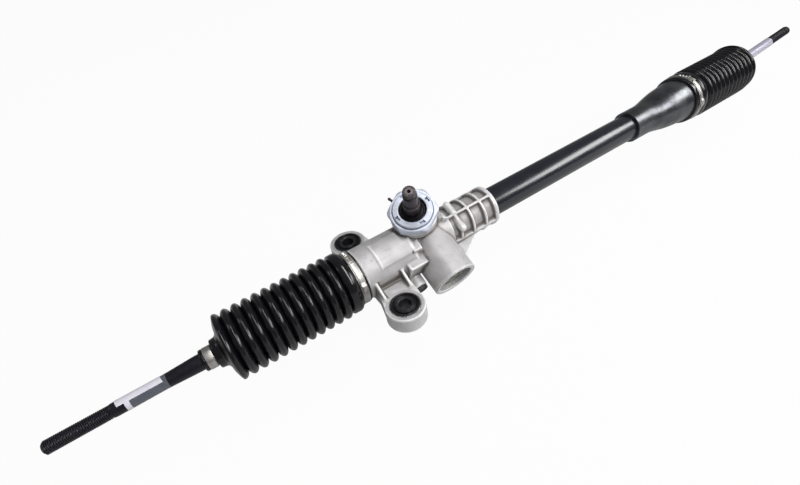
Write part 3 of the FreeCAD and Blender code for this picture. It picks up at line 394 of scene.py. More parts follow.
# Yellowish zinc of the recessed damper plug: its very dark clouds are painted shade and painted reflections
# in the recess
PLUG_ZINC_PAINTED_SHADE = Finish(
    "yellowed_zinc_painted_shade", "zinc_plate", (0.44, 0.46, 0.38), (0.09, 0.094, 0.078), metallic=0.85,
    roughness=0.28, cloud=3.5, grains=(Grain(0.7, 0.012),),
)
SEAL_RUBBER = Finish(
    "seal_rubber_black", "seal_rubber", (0.005, 0.005, 0.007), (0.009, 0.009, 0.011), roughness=0.36,
    cloud=5.0, grains=(Grain(0.5, 0.01),), specular=0.15,
)
YOKE_ALLOY = Finish(
    "turned_yoke_alloy", "yoke_alloy", (0.66, 0.66, 0.65), (0.58, 0.58, 0.57), metallic=0.9, roughness=0.3,
    haze=0.06, cloud=5.0, grains=(Grain(0.5, 0.008),),
)
BOOT_RUBBER = Finish(
    "boot_rubber_black", "boot_rubber", (0.0035, 0.0033, 0.0045), (0.006, 0.0055, 0.008), roughness=0.16,
    haze=0.002, cloud=9.0, grains=(Grain(1.4, 0.0002, 1.0),),
    specks=(Specks(0.8, 0.25, (0.02, 0.02, 0.022)),), specular=0.44,
)
CLAMP_STEEL = Finish(
    "stainless_band", "clamp_steel", (0.52, 0.505, 0.48), (0.44, 0.425, 0.405), metallic=1.0,
    roughness=0.38, haze=0.01, cloud=5.0, cloud_stretch=ROUND_RACK, grains=(Grain(3.0, 0.002, 1.0),),
)
RACK_STEEL = Finish(
    "ground_rack_steel", "rack_steel", (0.56, 0.56, 0.57), (0.46, 0.46, 0.47), metallic=1.0, roughness=0.2,
    haze=0.06, cloud=6.0, grains=(Grain(0.4, 0.004, stretch=ROUND_RACK),),
)
JOINT_STEEL = Finish(
    "phosphated_joint_steel", "joint_steel", (0.13, 0.13, 0.135), (0.09, 0.09, 0.095), metallic=0.6,
    roughness=0.48, cloud=5.0, grains=(Grain(0.5, 0.012),),
)
PINION_STEEL = Finish(
    "dark_pinion_steel", "pinion_steel", (0.060, 0.047, 0.052), (0.032, 0.025, 0.030), metallic=0.6,
    roughness=0.38, cloud=5.0, grains=(Grain(0.5, 0.012),), worn=(0.11, 0.095, 0.10),
    specks=(Specks(1.2, 0.3, (0.10, 0.07, 0.06)),),
)
ROD_BLACK = Finish(
    "rod_satin_black", "rod_paint", (0.004, 0.004, 0.008), (0.009, 0.008, 0.014), roughness=0.33, haze=0.06,
    cloud=8.0, grains=(Grain(0.6, 0.008), Grain(5.0, 0.03, 1.0)),
    specks=(Specks(1.0, 0.3, (0.03, 0.028, 0.032)),), worn=(0.03, 0.03, 0.036), specular=0.35,
)
TAPE_FILM = Finish(
    "grey_tape_film", "rod_paint", (0.085, 0.092, 0.115), (0.11, 0.118, 0.145), roughness=0.26, cloud=7.0,
    grains=(Grain(3.0, 0.03),), coat=0.4, coat_roughness=0.15,
)
LABEL_PAPER = Finish(
    "bare_label_paper", "rod_paint", (0.78, 0.77, 0.83), (0.70, 0.69, 0.77), roughness=0.52, cloud=6.0,
    grains=(Grain(0.5, 0.008), Grain(4.0, 0.05, 1.0)),
)
SILVER_FILM = Finish(
    "silvery_wrap_film", "rod_paint", (0.56, 0.55, 0.64), (0.38, 0.37, 0.47), metallic=0.35, roughness=0.30,
    cloud=5.0, cloud_stretch=ALONG_RACK, grains=(Grain(2.5, 0.012, stretch=ALONG_RACK),), coat=0.3,
    coat_roughness=0.15,
)

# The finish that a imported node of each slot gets
SLOT_FINISHES: dict[str, Finish] = {
    finish.slot: finish
    for finish in (
        CAST_ALUMINIUM, BUSH_STEEL, BUSH_RUBBER, CAP_RUBBER, GLOSS_BLACK, SATIN_SLEEVE, BEARING_PLASTIC,
        SPRING_STEEL, BEARING_STEEL, ZINC, SEAL_RUBBER, YOKE_ALLOY, BOOT_RUBBER, CLAMP_STEEL, RACK_STEEL,
        JOINT_STEEL, PINION_STEEL, ROD_BLACK,
    )
}


# Local frames and surfaces


def unit(values: Sequence[float]) -> np.ndarray:
    """A direction of length one."""
    vector = np.asarray(values, float)
    return vector / np.linalg.norm(vector)


@dataclass(frozen=True)
class Seat:
    """A local frame: its point in millimetres and the directions of its length, width and height."""

    point: np.ndarray
    along: np.ndarray
    across: np.ndarray
    up: np.ndarray

    @classmethod
    def facing(cls, point: Sequence[float], along: Sequence[float], up: Sequence[float]) -> "Seat":
        """A frame from its length direction and a rough height direction."""
        length = unit(along)
        width = unit(np.cross(up, length))
        return cls(np.asarray(point, float), length, width, np.cross(length, width))

    def world(self, local: np.ndarray) -> np.ndarray:
        """Local millimetres (..., 3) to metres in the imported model's frame.

        The point is the frame's point plus length, width and height times their directions.
        """
        moved = self.point + local[..., 0:1] * self.along + local[..., 1:2] * self.across
        return (moved + local[..., 2:3] * self.up) * MM

    def moved(self, along: float) -> "Seat":
        """The same directions at a point moved along the length, in millimetres."""
        return Seat(self.point + along * self.along, self.along, self.across, self.up)


RACK = Seat.facing((0, 0, RACK_HEIGHT), (1, 0, 0), (0, 0, 1))
TOWER_UP = np.array([0.0, -math.sin(TOWER_TILT), math.cos(TOWER_TILT)])
TOWER_BACK = np.array([0.0, math.cos(TOWER_TILT), math.sin(TOWER_TILT)])
TOWER = Seat(np.array([PINION_STATION, 0.0, RACK_HEIGHT]), np.array([1.0, 0, 0]), TOWER_BACK, TOWER_UP)
DAMPER = Seat.facing(TOWER.point, -TOWER_BACK, TOWER_UP)
PINION_UP = math.cos(PINION_LEAN) * TOWER_UP - math.sin(PINION_LEAN) * TOWER.along
PINION = Seat.facing(TOWER.point + PINION_OFFSET * TOWER_BACK, PINION_UP, -TOWER_BACK)


def outward(side: Side, station: float, lift: float = 0.0, swing: float = 0.0) -> Seat:
    """A frame on the rack's axis whose length runs to one end of the gear.

    Args:
        side: the end that it faces.
        station: its place along X in millimetres.
        lift: how far the length is raised, in degrees.
        swing: how far the length is turned to the rear, in degrees.

    Returns:
        The local frame.
    """
    rise, yaw = math.radians(lift), math.radians(swing)
    along = (side.sign * math.cos(rise) * math.cos(yaw), math.cos(rise) * math.sin(yaw), math.sin(rise))
    return Seat.facing((station, 0, RACK_HEIGHT), along, (0, 0, 1))


def lug_seat(sign: int) -> Seat:
    """The frame of a mounting lug's hole: its length runs up from the lower clamping face."""
    return Seat.facing((0, sign * LUG_OFFSET, 0), (0, 0, 1), (1, 0, 0))


def eased(
    corners: Sequence[tuple[float, float]], radius: float = 0.4, parts: int = 4, closed: bool = True,
) -> np.ndarray:
    """Round the corners of a polygon.

    Each corner C is cut at A and B, a distance along its two sides, at most 45% of a
    side. The parabola (1-t)(1-t)A + 2t(1-t)C + ttB joins the two cuts.

    Args:
        corners: (station, radius) pairs in order.
        radius: how far from a corner the cuts lie.
        parts: spans of each parabola.
        closed: whether the last corner joins the first.

    Returns:
        An (n, 2) array of profile points.
    """
    spots = np.asarray(corners, float)
    cuts = []
    for turn in (1, -1):
        side = np.roll(spots, turn, axis=0) - spots
        length = np.linalg.norm(side, axis=1)
        reach = np.minimum(radius, 0.45 * length)
        if not closed:
            reach[[0, -1]] = 0.0
        cuts.append(spots + side / np.maximum(length, 1e-9)[:, None] * reach[:, None])
    start, middle, end = cuts[0][:, None], spots[:, None], cuts[1][:, None]
    step = np.linspace(0, 1, parts + 1)[None, :, None]
    curve = (1 - step) ** 2 * start + 2 * step * (1 - step) * middle + step**2 * end
    points = curve.reshape(-1, 2)
    keep = np.linalg.norm(points - np.roll(points, 1, axis=0), axis=1) > 1e-6
    keep[0] = True
    return points[keep]


def lerped(points: np.ndarray, spacing: float) -> np.ndarray:
    """Split a profile's long spans so that none is longer than a spacing in millimetres."""
    lengths = np.linalg.norm(np.diff(points, axis=0), axis=1)
    counts = np.maximum(1, np.ceil(lengths / spacing)).astype(int)
    places = np.concatenate([index + np.arange(count) / count for index, count in enumerate(counts)])
    places = np.append(places, len(points) - 1)
    known = np.arange(len(points))
    return np.stack([np.interp(places, known, points[:, axis]) for axis in (0, 1)], axis=1)


def angles(steps: int) -> np.ndarray:
    """Evenly spaced angles round a circle, without the closing one."""
    return np.arange(steps) * (FULL_TURN / steps)


def rings(station: np.ndarray, radius: np.ndarray, turn: np.ndarray) -> np.ndarray:
    """Local points round a frame's length: (station, radius times cos, radius times sin of the angle)."""
    return np.stack([station + 0 * turn, radius * np.cos(turn), radius * np.sin(turn)], axis=-1)


def smooth_step(share: np.ndarray) -> np.ndarray:
    """A share held between 0 and 1 and eased at both ends: tt(3 - 2t)."""
    held = np.clip(share, 0, 1)
    return held * held * (3 - 2 * held)


def linked(name: str, data: bpy.types.ID) -> bpy.types.Object:
    """A new object in the scene."""
    made = bpy.data.objects.new(name, data)
    bpy.context.scene.collection.objects.link(made)
    return made


def skin(
    name: str, points: np.ndarray, rows_close: bool, columns_close: bool, finish: Finish,
    sharp: float = CRISP,
) -> bpy.types.Object:
    """A mesh of quads over a grid of points.

    Quad (i, j) joins points (i, j), (i+1, j), (i+1, j+1) and (i, j+1), with the last row
    or column joined to the first where it closes. Doubled points at poles are merged.

    Args:
        name: the piece's name.
        points: (rows, columns, 3) array in metres.
        rows_close: whether the last row joins the first.
        columns_close: whether the last column joins the first.
        finish: its surface.
        sharp: bend in degrees above which an edge stays sharp.

    Returns:
        The new object at the origin.
    """
    rows, columns = points.shape[:2]
    row = np.arange(rows if rows_close else rows - 1)[:, None]
    column = np.arange(columns if columns_close else columns - 1)[None, :]
    next_row, next_column = (row + 1) % rows, (column + 1) % columns
    quads = np.stack(
        [row * columns + column, next_row * columns + column,
         next_row * columns + next_column, row * columns + next_column], axis=-1,
    ).reshape(-1, 4)
    mesh = bpy.data.meshes.new(name)
    mesh.from_pydata(points.reshape(-1, 3).tolist(), [], quads.tolist())
    return finished(name, mesh, finish, sharp)


def finished(name: str, mesh: bpy.types.Mesh, finish: Finish, sharp: float) -> bpy.types.Object:
    """Merge a mesh's doubles, turn its faces outwards, shade it and dress it."""
    work = bmesh.new()
    work.from_mesh(mesh)
    bmesh.ops.remove_doubles(work, verts=work.verts, dist=1e-7)
    bmesh.ops.dissolve_degenerate(work, edges=work.edges, dist=1e-8)
    bmesh.ops.recalc_face_normals(work, faces=work.faces)
    work.to_mesh(mesh)
    work.free()
    return shaded(name, mesh, finish, sharp)


def shaded(name: str, mesh: bpy.types.Mesh, finish: Finish, sharp: float) -> bpy.types.Object:
    """Shade a mesh smooth but for its sharp edges, and put it in the scene with its finish."""
    mesh.shade_smooth()
    mesh.set_sharp_from_angle(angle=math.radians(sharp))
    piece = linked(name, mesh)
    mesh.materials.append(finish.material())
    return piece


def joined(name: str, pieces: Sequence[bpy.types.Object], finish: Finish) -> bpy.types.Object:
    """One object from several meshes of the same finish, which are then removed."""
    work = bmesh.new()
    for piece in pieces:
        work.from_mesh(piece.data)
        bpy.data.objects.remove(piece)
    mesh = bpy.data.meshes.new(name)
    work.to_mesh(mesh)
    work.free()
    return shaded(name, mesh, finish, CRISP)


def turned(
    name: str, profile: np.ndarray, seat: Seat, finish: Finish, steps: int = 96, closed: bool = True,
    radii: Optional[np.ndarray] = None, stations: Optional[np.ndarray] = None,
    around: Optional[np.ndarray] = None, sharp: float = CRISP,
) -> bpy.types.Object:
    """A profile turned about a frame's length.

    The point of profile row i at angle a is (station, radius times cos a, radius times
    sin a). Radii and stations may be given for each row and angle instead.

    Args:
        name: the piece's name.
        profile: (rows, 2) stations and radii in millimetres.
        seat: the frame that it is turned in.
        finish: its surface.
        steps: divisions round the circle.
        closed: whether the last profile point joins the first.
        radii: optional (rows, steps) radii.
        stations: optional (rows, steps) stations.
        around: optional angles instead of even ones.
        sharp: bend above which an edge stays sharp.

    Returns:
        The new object.
    """
    turn = angles(steps) if around is None else around
    station = profile[:, 0:1] if stations is None else stations
    radius = profile[:, 1:2] if radii is None else radii
    return skin(name, seat.world(rings(station, radius, turn)), closed, True, finish, sharp)


def curved_strip(
    name: str, section: np.ndarray, seat: Seat, start: float, end: float, finish: Finish, steps: int,
    rise: Optional[np.ndarray] = None,
) -> bpy.types.Object:
    """A closed section carried round part of a circle, its ends closed at the section's middle.

    Args:
        name: the piece's name.
        section: (n, 2) stations and radii of the section's outline.
        seat: the frame whose length is the circle's axis.
        start: first angle in degrees, from the frame's width towards its height.
        end: last angle in degrees.
        finish: its surface.
        steps: divisions along the arc.
        rise: optional radius added at each of the steps + 1 places.

    Returns:
        The new object.
    """
    turn = np.radians(np.linspace(start, end, steps + 1))
    lifted = np.zeros(steps + 1) if rise is None else rise
    loops = np.repeat(section[None], steps + 1, axis=0)
    middle = np.repeat(section.mean(axis=0)[None, None], len(section), axis=1)
    loops = np.concatenate([middle, loops, middle])
    turn = np.concatenate([turn[:1], turn, turn[-1:]])[:, None]
    lifted = np.concatenate([lifted[:1], lifted, lifted[-1:]])[:, None]
    points = rings(loops[..., 0], loops[..., 1] + lifted, turn)
    return skin(name, seat.world(points), False, True, finish)


def box_section(
    start: float, end: float, inner: float, outer: float, ease: float = 0.15, parts: int = 2,
) -> np.ndarray:
    """A rounded rectangle between two stations and two radii."""
    return eased([(start, inner), (end, inner), (end, outer), (start, outer)], ease, parts)


def hexagon(turn: np.ndarray, flats: float) -> np.ndarray:
    """The radius of a hexagon at each angle: half its width over the cosine to the nearest flat."""
    nearest = (turn + math.pi / 6) % (math.pi / 3) - math.pi / 6
    return flats / 2 / np.cos(nearest)


def threaded(
    stations: np.ndarray, turn: np.ndarray, crest: float, depth: float, start: float, end: float,
) -> np.ndarray:
    """Radii of a screw thread.

    The groove follows the helix station / pitch minus angle / full turn. Its depth is a
    rounded wave of that phase, and it fades out over one pitch at both ends.

    Args:
        stations: (rows, 1) stations in millimetres.
        turn: angles round the axis.
        crest: the radius of the crests.
        depth: how deep the grooves are.
        start: station where the thread begins.
        end: station where it ends.

    Returns:
        (rows, angles) radii.
    """
    phase = stations / THREAD_PITCH - turn / FULL_TURN
    wave = np.abs(2 * (phase % 1.0) - 1.0)
    groove = np.clip(wave * 1.25 - 0.12, 0, 1)
    fade = np.clip((stations - start) / THREAD_PITCH, 0, 1) * np.clip((end - stations) / THREAD_PITCH, 0, 1)
    return crest - depth * groove * fade


def dressed(piece: bpy.types.Object, body: Body, *nodes: str) -> bpy.types.Object:
    """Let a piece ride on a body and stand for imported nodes."""
    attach(piece, body.value)
    if nodes:
        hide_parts(*nodes)
    log.info("piece %s rides on %s", piece.name, body.value)
    return piece


# Sub-assemblies


@dataclass
class Casting:
    """The pinion housing, softened like a die casting, with its mouth's thread and its lugs' faces."""

    voxel: float = 0.8
    smoothing: int = 5
    survey_rounds: int = 45
    triangles: int = 185000
    mouth_reach: float = 54.7
    mouth_radius: float = 23.6
    mouth_bore: float = 19.0
    mouth_depth: float = 9.0
    lug_radius: float = 19.6
    barrel_end: float = -17.3
    barrel_step: float = -11.5
    barrel_radius: float = 26.3
    barrel_seat: float = 24.2

    def barrel_rim(self) -> bpy.types.Object:
        """A ring that carries the barrel's full radius up to the boot's lip."""
        end, step = self.barrel_end, self.barrel_step
        inner, outer = self.barrel_seat, self.barrel_radius
        profile = np.array([(end, inner), (step, inner), (step, outer), (end, outer)])
        return turned("barrel_rim", profile, RACK, CAST_ALUMINIUM, steps=160)

    @staticmethod
    def modified(name: str, mesh: bpy.types.Mesh, kind: str, **settings: object) -> bpy.types.Mesh:
        """What one modifier with these settings makes of a mesh."""
        carrier = linked(name, mesh)
        modifier = carrier.modifiers.new(name, kind)
        for key, value in settings.items():
            setattr(modifier, key, value)
        graph = bpy.context.evaluated_depsgraph_get()
        made = bpy.data.meshes.new_from_object(carrier.evaluated_get(graph))
        bpy.data.objects.remove(carrier)
        return made

    def softened(self) -> bpy.types.Object:
        """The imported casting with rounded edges.

        A copy of its mesh, joined with the barrel's rim, is rebuilt from voxels, and each point
        is then moved towards the mean of its neighbours a few times, and a little back.

        Returns:
            The cast body.
        """
        mesh = frame["nodes"]["pinion_housing"].data.copy()
        work = bmesh.new()
        work.from_mesh(mesh)
        bmesh.ops.remove_doubles(work, verts=work.verts, dist=2e-6)
        rim = self.barrel_rim()
        work.from_mesh(rim.data)
        bpy.data.objects.remove(rim)
        work.to_mesh(mesh)
        work.free()
        mesh.materials.clear()
        rebuilt = self.modified("voxels", mesh, "REMESH", mode="VOXEL", voxel_size=self.voxel * MM)
        self.relax(rebuilt)
        count = sum(len(face.vertices) - 2 for face in rebuilt.polygons)
        thinned = self.modified("thinned", rebuilt, "DECIMATE", ratio=min(1.0, self.triangles / count))
        cast_body = finished("cast_housing", thinned, CAST_ALUMINIUM, SOFT)
        self.survey(cast_body.data)
        return cast_body

    @staticmethod
    def eased_points(mesh: bpy.types.Mesh, steps: Sequence[float]) -> np.ndarray:
        """A mesh's points after each has moved, step by step, towards the mean of its neighbours."""
        count = len(mesh.vertices)
        spots = np.empty(count * 3, np.float32)
        mesh.vertices.foreach_get("co", spots)
        spots = spots.reshape(-1, 3).astype(float)
        pairs = np.empty(len(mesh.edges) * 2, np.int32)
        mesh.edges.foreach_get("vertices", pairs)
        ends = pairs.reshape(-1, 2)
        degree = np.maximum(np.bincount(ends.ravel(), minlength=count), 1)[:, None]
        first, second = ends[:, 0], ends[:, 1]
        for step in steps:
            sums = []
            for line in spots.T:
                towards = np.bincount(first, line[second], count)
                sums.append(towards + np.bincount(second, line[first], count))
            spots = spots + step * (np.stack(sums, axis=1) / degree - spots)
        return spots

    def relax(self, mesh: bpy.types.Mesh) -> None:
        """Smooth a mesh in place: a step towards the neighbours' mean, then a step back, and again."""
        spots = self.eased_points(mesh, [0.55, -0.25] * self.smoothing)
        mesh.vertices.foreach_set("co", spots.astype(np.float32).ravel())
        mesh.update()

    def survey(self, mesh: bpy.types.Mesh) -> None:
        """Store how far each point stands out of a much smoothed copy, in millimetres.

        It is the point less its smoothed place, along its normal: below nothing in
        hollows, where the finish paints shade, and above it on edges, which wear bright.
        """
        count = len(mesh.vertices)
        spots = self.eased_points(mesh, ())
        normals = np.empty(count * 3, np.float32)
        mesh.vertices.foreach_get("normal", normals)
        away = spots - self.eased_points(mesh, [0.6] * self.survey_rounds)
        stands = (away * normals.reshape(-1, 3)).sum(axis=1) / MM
        mesh.attributes.new(BEND, "FLOAT", "POINT").data.foreach_set("value", stands.astype(np.float32))

    def machined_mouth(self) -> bpy.types.Object:
        """The chamfer and thread of the damper's mouth.

        An inner thread is an outer one mirrored on its bore: twice the bore's radius less
        the outer thread's radius.
        """
        reach, radius, bore = self.mouth_reach, self.mouth_radius, self.mouth_bore
        bottom, lip = reach - self.mouth_depth, reach - 2.2
        face = eased([
            (reach - 0.9, radius - 1.5), (reach - 0.3, radius - 2.0), (lip, bore - 0.05),
        ], 0.2, 3, closed=False)
        walls = np.linspace(reach - 2.3, bottom, 72)
        inner = np.stack([walls, 0 * walls + bore - 0.05], axis=1)
        back = np.array([(bottom, bore + 0.9), (reach - 2.9, bore + 0.9)])
        profile = np.concatenate([face, inner, back])
        turn = angles(96)
        radii = profile[:, 1:2] + 0 * turn
        rows = slice(len(face), len(face) + len(inner))
        mirrored = 2 * bore - threaded(profile[rows, 0:1], turn, bore + 0.05, 0.8, bottom, lip)
        radii[rows] = np.minimum(mirrored, bore + 0.7)
        # The finish's dark colour is painted shade inside the mouth's bore
        return turned("damper_mouth", profile, DAMPER, CUT_ALUMINIUM_PAINTED_SHADE, radii=radii)

    def mouth_rim(self) -> bpy.types.Object:
        """The narrow cast rim round the damper's mouth."""
        reach, radius = self.mouth_reach, self.mouth_radius
        profile = eased([
            (reach - 0.9, radius + 0.02), (reach + 0.04, radius - 0.6), (reach + 0.04, radius - 1.6),
            (reach - 0.5, radius - 2.0), (reach - 1.4, radius - 1.4),
        ], 0.25, 3)
        return turned("damper_mouth_rim", profile, DAMPER, CAST_ALUMINIUM)

    def lug_face(self, name: str, sign: int) -> bpy.types.Object:
        """The flat ring round a bush on its lug's top face."""
        profile = eased([
            (LUG_TOP - 0.5, BUSH_RADIUS - 0.02), (LUG_TOP + 0.05, BUSH_RADIUS + 0.35),
            (LUG_TOP + 0.05, self.lug_radius - 1.3), (LUG_TOP - 0.5, self.lug_radius - 0.9),
        ], 0.2, 3)
        return turned(f"{name}_lug_face", profile, lug_seat(sign), CAST_ALUMINIUM)

    def build(self) -> None:
        """Make the casting, the damper's mouth and the lugs' faces."""
        dressed(self.softened(), Body.HOUSING, "pinion_housing")
        mouth = (self.machined_mouth(), self.mouth_rim())
        for face in (*mouth, self.lug_face("front", -1), self.lug_face("rear", 1)):
            dressed(face, Body.HOUSING)


@dataclass
class MountingBush:
    """A rubber bush in a lug: pressed shell, moulded rubber with beads, and bolt sleeve."""

    label: str
    sign: int
    bottom: float = 2.0
    shell_wall: float = 1.2
    sleeve_radius: float = 8.6
    collar_radius: float = 10.5
    bead_radius: float = 14.35
    bolt_radius: float = 6.25
    sleeve_top: float = 20.6

    def shell(self) -> np.ndarray:
        """The profile of the pressed shell."""
        low, top, inner = self.bottom, LUG_TOP, BUSH_RADIUS - self.shell_wall
        return eased([
            (low, inner), (top, inner), (top, BUSH_RADIUS - 0.15), (low, BUSH_RADIUS - 0.1),
        ], 0.35, 4)

    def rubber(self) -> np.ndarray:
        """The profile of the rubber: a collar at the sleeve, a groove, and a bead at the shell."""
        low, top, inner = self.bottom, LUG_TOP, BUSH_RADIUS - self.shell_wall
        core, collar, bead = self.sleeve_radius, self.collar_radius, self.bead_radius
        return eased([
            (low + 0.4, core), (top + 0.6, core), (top + 1.2, core + 0.4), (top + 1.2, collar - 0.5),
            (top + 0.2, collar), (top - 0.8, collar + 0.2), (top - 0.8, collar + 1.3),
            (top + 0.9, collar + 1.7), (top + 1.3, bead - 1.3), (top + 1.0, bead - 0.2), (top + 0.2, bead),
            (top, inner), (low + 0.2, inner), (low + 0.2, inner - 1.0), (low + 1.4, inner - 1.8),
            (low + 1.4, core + 1.5),
        ], 0.5, 4)

    def sleeve(self) -> np.ndarray:
        """The profile of the bolt's sleeve."""
        top, bolt, core = self.sleeve_top, self.bolt_radius, self.sleeve_radius
        return eased([
            (0, bolt + 0.5), (0.5, bolt), (top - 0.6, bolt), (top, bolt + 0.6), (top, core - 0.4),
            (top - 0.4, core), (0.4, core), (0, core - 0.4),
        ], 0.2, 3)

    def build(self) -> None:
        """Turn the three pieces about the bolt's axis."""
        for name, profile, finish, node in (
            ("shell_ring", self.shell(), BUSH_STEEL, "bush_shell"),
            ("rubber_ring", self.rubber(), BUSH_RUBBER, "bush_rubber"),
            ("bolt_sleeve", self.sleeve(), SLEEVE_STEEL, "bush_sleeve"),
        ):
            ring = turned(f"{self.label}_{name}", profile, lug_seat(self.sign), finish)
            dressed(ring, Body.HOUSING, f"{self.label}_{node}")


@dataclass
class TowerFittings:
    """What closes the pinion's tower: lock nut, slotted plug, seal, and the shaft's end."""

    nut_flats: float = 45.2
    nut_corner: float = 25.3
    nut_bottom: float = 36.0
    nut_height: float = 7.5
    plug_radius: float = 19.8
    plug_bore: float = 13.7
    plug_bottom: float = 31.0
    plug_shelf: float = 36.5
    plug_top: float = 46.3
    slot_width: float = 5.6
    slot_depth: float = 3.4
    slots: int = 4
    shaft_tip: float = 83.3
    splines: int = 36
    spline_start: float = 61.2
    spline_sharp: float = 40.0
    groove: tuple[float, float] = (76.05, 78.55)

    def lock_nut(self) -> bpy.types.Object:
        """A hexagon nut whose top and bottom are chamfered by a cone.

        The radius at each angle is the lesser of the hexagon's and the cone's, which
        widens by 1.73 mm for each millimetre from the face.
        """
        low, high, ring = self.nut_bottom, self.nut_bottom + self.nut_height, self.plug_radius
        drop = np.linspace(0, 2.4, 12)
        stations = np.concatenate([low + drop, high - drop[::-1]])
        turn = angles(240)
        cone = self.nut_flats / 2 - 0.3 + 1.73 * np.concatenate([drop, drop[::-1]])[:, None]
        flat = np.minimum(hexagon(turn, self.nut_flats), self.nut_corner)[None]
        sides = np.minimum(flat, cone) - 0.25 * np.exp(-((flat - cone) / 0.25) ** 2)
        bore = eased([
            (high, ring + 1.0), (high - 0.8, ring + 0.3), (low + 0.9, ring + 0.3), (low, ring + 1.2),
        ], 0.2, 3, closed=False)
        radii = np.concatenate([sides, bore[:, 1:2] + 0 * turn])
        places = np.concatenate([stations, bore[:, 0]])
        profile = np.stack([places, radii[:, 0]], axis=1)
        return turned("hexagon_lock_nut", profile, PINION, ZINC, radii=radii, around=turn, sharp=28.0)

    def slotted_plug(self) -> bpy.types.Object:
        """The plug's ring: its top face drops by the slot's depth between each slot's edges."""
        half = self.slot_width / 2 / (self.plug_radius - 2.6)
        centres = angles(self.slots)
        nearly = half - 0.004
        edges = np.concatenate([centres - half, centres - nearly, centres + nearly, centres + half])
        turn = np.unique(np.concatenate([angles(160), edges % FULL_TURN]))
        away = np.abs((turn[:, None] - centres[None] + math.pi) % FULL_TURN - math.pi).min(axis=1)
        inside = away < half - 0.002
        outer, bore, top = self.plug_radius, self.plug_bore, self.plug_top
        low, shelf = self.plug_bottom, self.plug_shelf
        rows = np.array([
            (low, bore + 0.8), (shelf, bore + 0.8), (shelf, bore), (top - 0.7, bore),
            (top - 0.1, bore + 0.25), (top, bore + 0.7), (top, outer - 4.2), (top, outer - 4.19),
            (top, outer - 1.01), (top, outer - 1.0), (top, outer - 0.8), (top - 0.15, outer - 0.5),
            (top - 0.5, outer - 0.15), (top - 0.9, outer), (top - 3.2, outer), (low, outer),
        ])
        rows = np.concatenate([rows[:-1], lerped(rows[-2:], 0.25)[1:]])
        stations = rows[:, 0:1] + 0 * turn
        dropped = (rows[:, 1] >= outer - 4.191) & (rows[:, 1] <= outer - 1.009)
        stations[np.ix_(dropped, inside)] = top - self.slot_depth
        radii = rows[:, 1:2] + 0 * turn
        outside = (rows[:, 0] < top - 0.95) & (rows[:, 1] >= outer - 0.01)
        radii[outside] = threaded(rows[outside, 0:1], turn, outer, 0.55, low - 1.0, top - 1.0)
        return turned("slotted_ring_plug", rows, PINION, ZINC, radii=radii, stations=stations, around=turn)

    def dust_seal(self) -> bpy.types.Object:
        """A rubber seal with a raised lip against the shaft and a shallow trough."""
        shelf, rim = self.plug_shelf, self.plug_bore - 0.04
        profile = eased([
            (shelf, 9.9), (42.0, 9.9), (43.6, 8.7), (44.4, 8.45), (44.9, 8.9), (44.0, 10.2), (43.2, 10.8),
            (43.0, 12.2), (43.9, 12.7), (44.6, 13.0), (44.6, rim), (shelf, rim),
        ], 0.4, 4)
        return turned("shaft_dust_seal", profile, PINION, SEAL_RUBBER)

    def shaft(self) -> bpy.types.Object:
        """The shaft's outer end: journal, splines, clamp groove, and a tip with a centre hole.

        The spline's radius is its outer one less half a millimetre of rounded square wave,
        the clipped sine of the angle times the number of splines.
        """
        turn = angles(self.splines * 8)
        tip = self.shaft_tip
        corners = [
            (31.3, 0.0), (31.3, 8.3), (59.6, 8.3), (60.6, 7.6), (61.4, 6.9), (75.6, 6.9), (76.0, 6.5),
            (76.2, 5.6), (78.4, 5.6), (78.6, 6.2), (82.4, 6.2), (tip, 5.3), (tip, 3.4), (tip - 0.7, 2.6),
            (tip - 5.4, 2.6), (tip - 6.4, 0.0),
        ]
        profile = lerped(eased(corners, 0.35, 3, closed=False), 0.8)
        wave = np.clip(np.sin(turn * self.splines) * 1.6, -1, 1) * 0.5 + 0.5
        station, radius = profile[:, 0:1], profile[:, 1:2]
        rise, fall = (station - self.spline_start) / 2.0, (tip - 0.2 - station) / 0.8
        ramp = np.clip(rise, 0, 1) * np.clip(fall, 0, 1)
        splined = (radius > 4.5) & ((station <= self.groove[0]) | (station >= self.groove[1]))
        radii = radius - 0.5 * wave * ramp * splined
        return turned(
            "splined_shaft_end", profile, PINION, PINION_STEEL, closed=False, radii=radii, around=turn,
            sharp=self.spline_sharp,
        )

    def build(self) -> None:
        """Make the four visible fittings."""
        dressed(self.lock_nut(), Body.HOUSING, "pinion_lock_nut")
        dressed(self.slotted_plug(), Body.HOUSING, "pinion_plug")
        dressed(self.dust_seal(), Body.HOUSING, "pinion_seal")
        dressed(self.shaft(), Body.PINION)


@dataclass
class DamperPlug:
    """The recessed screw plug of the support yoke, with a hexagon socket."""

    radius: float = 19.0
    start: float = 31.1
    end: float = 48.7
    hex_flats: float = 22.0
    hex_depth: float = 9.0

    def build(self) -> None:
        """Make the plug: rows in the socket follow the hexagon, and the rest are round."""
        turn = angles(192)
        six = hexagon(turn, self.hex_flats)
        end, floor, rim = self.end, self.end - self.hex_depth, self.radius - 0.05
        corners = np.array([
            (floor, 0.0), (floor, 10.5), (floor, 12.0), (end - 0.7, 12.0), (end, 12.8), (end, 15.2),
            (end - 0.5, 15.5), (end - 0.5, 17.0), (end, 17.3), (end, self.radius - 0.9), (end - 0.8, rim),
            (self.start, rim), (self.start, 0.0),
        ])
        radii = corners[:, 1:2] + 0 * turn
        radii[2:4] = six
        radii[4] = np.maximum(six + 0.5, 12.8)
        # The plug's finish paints shade and reflections into the recess with its dark clouds
        plug = turned(
            "damper_screw_plug", corners, DAMPER, PLUG_ZINC_PAINTED_SHADE, closed=False, radii=radii, around=turn,
        )
        dressed(plug, Body.HOUSING, "yoke_plug")


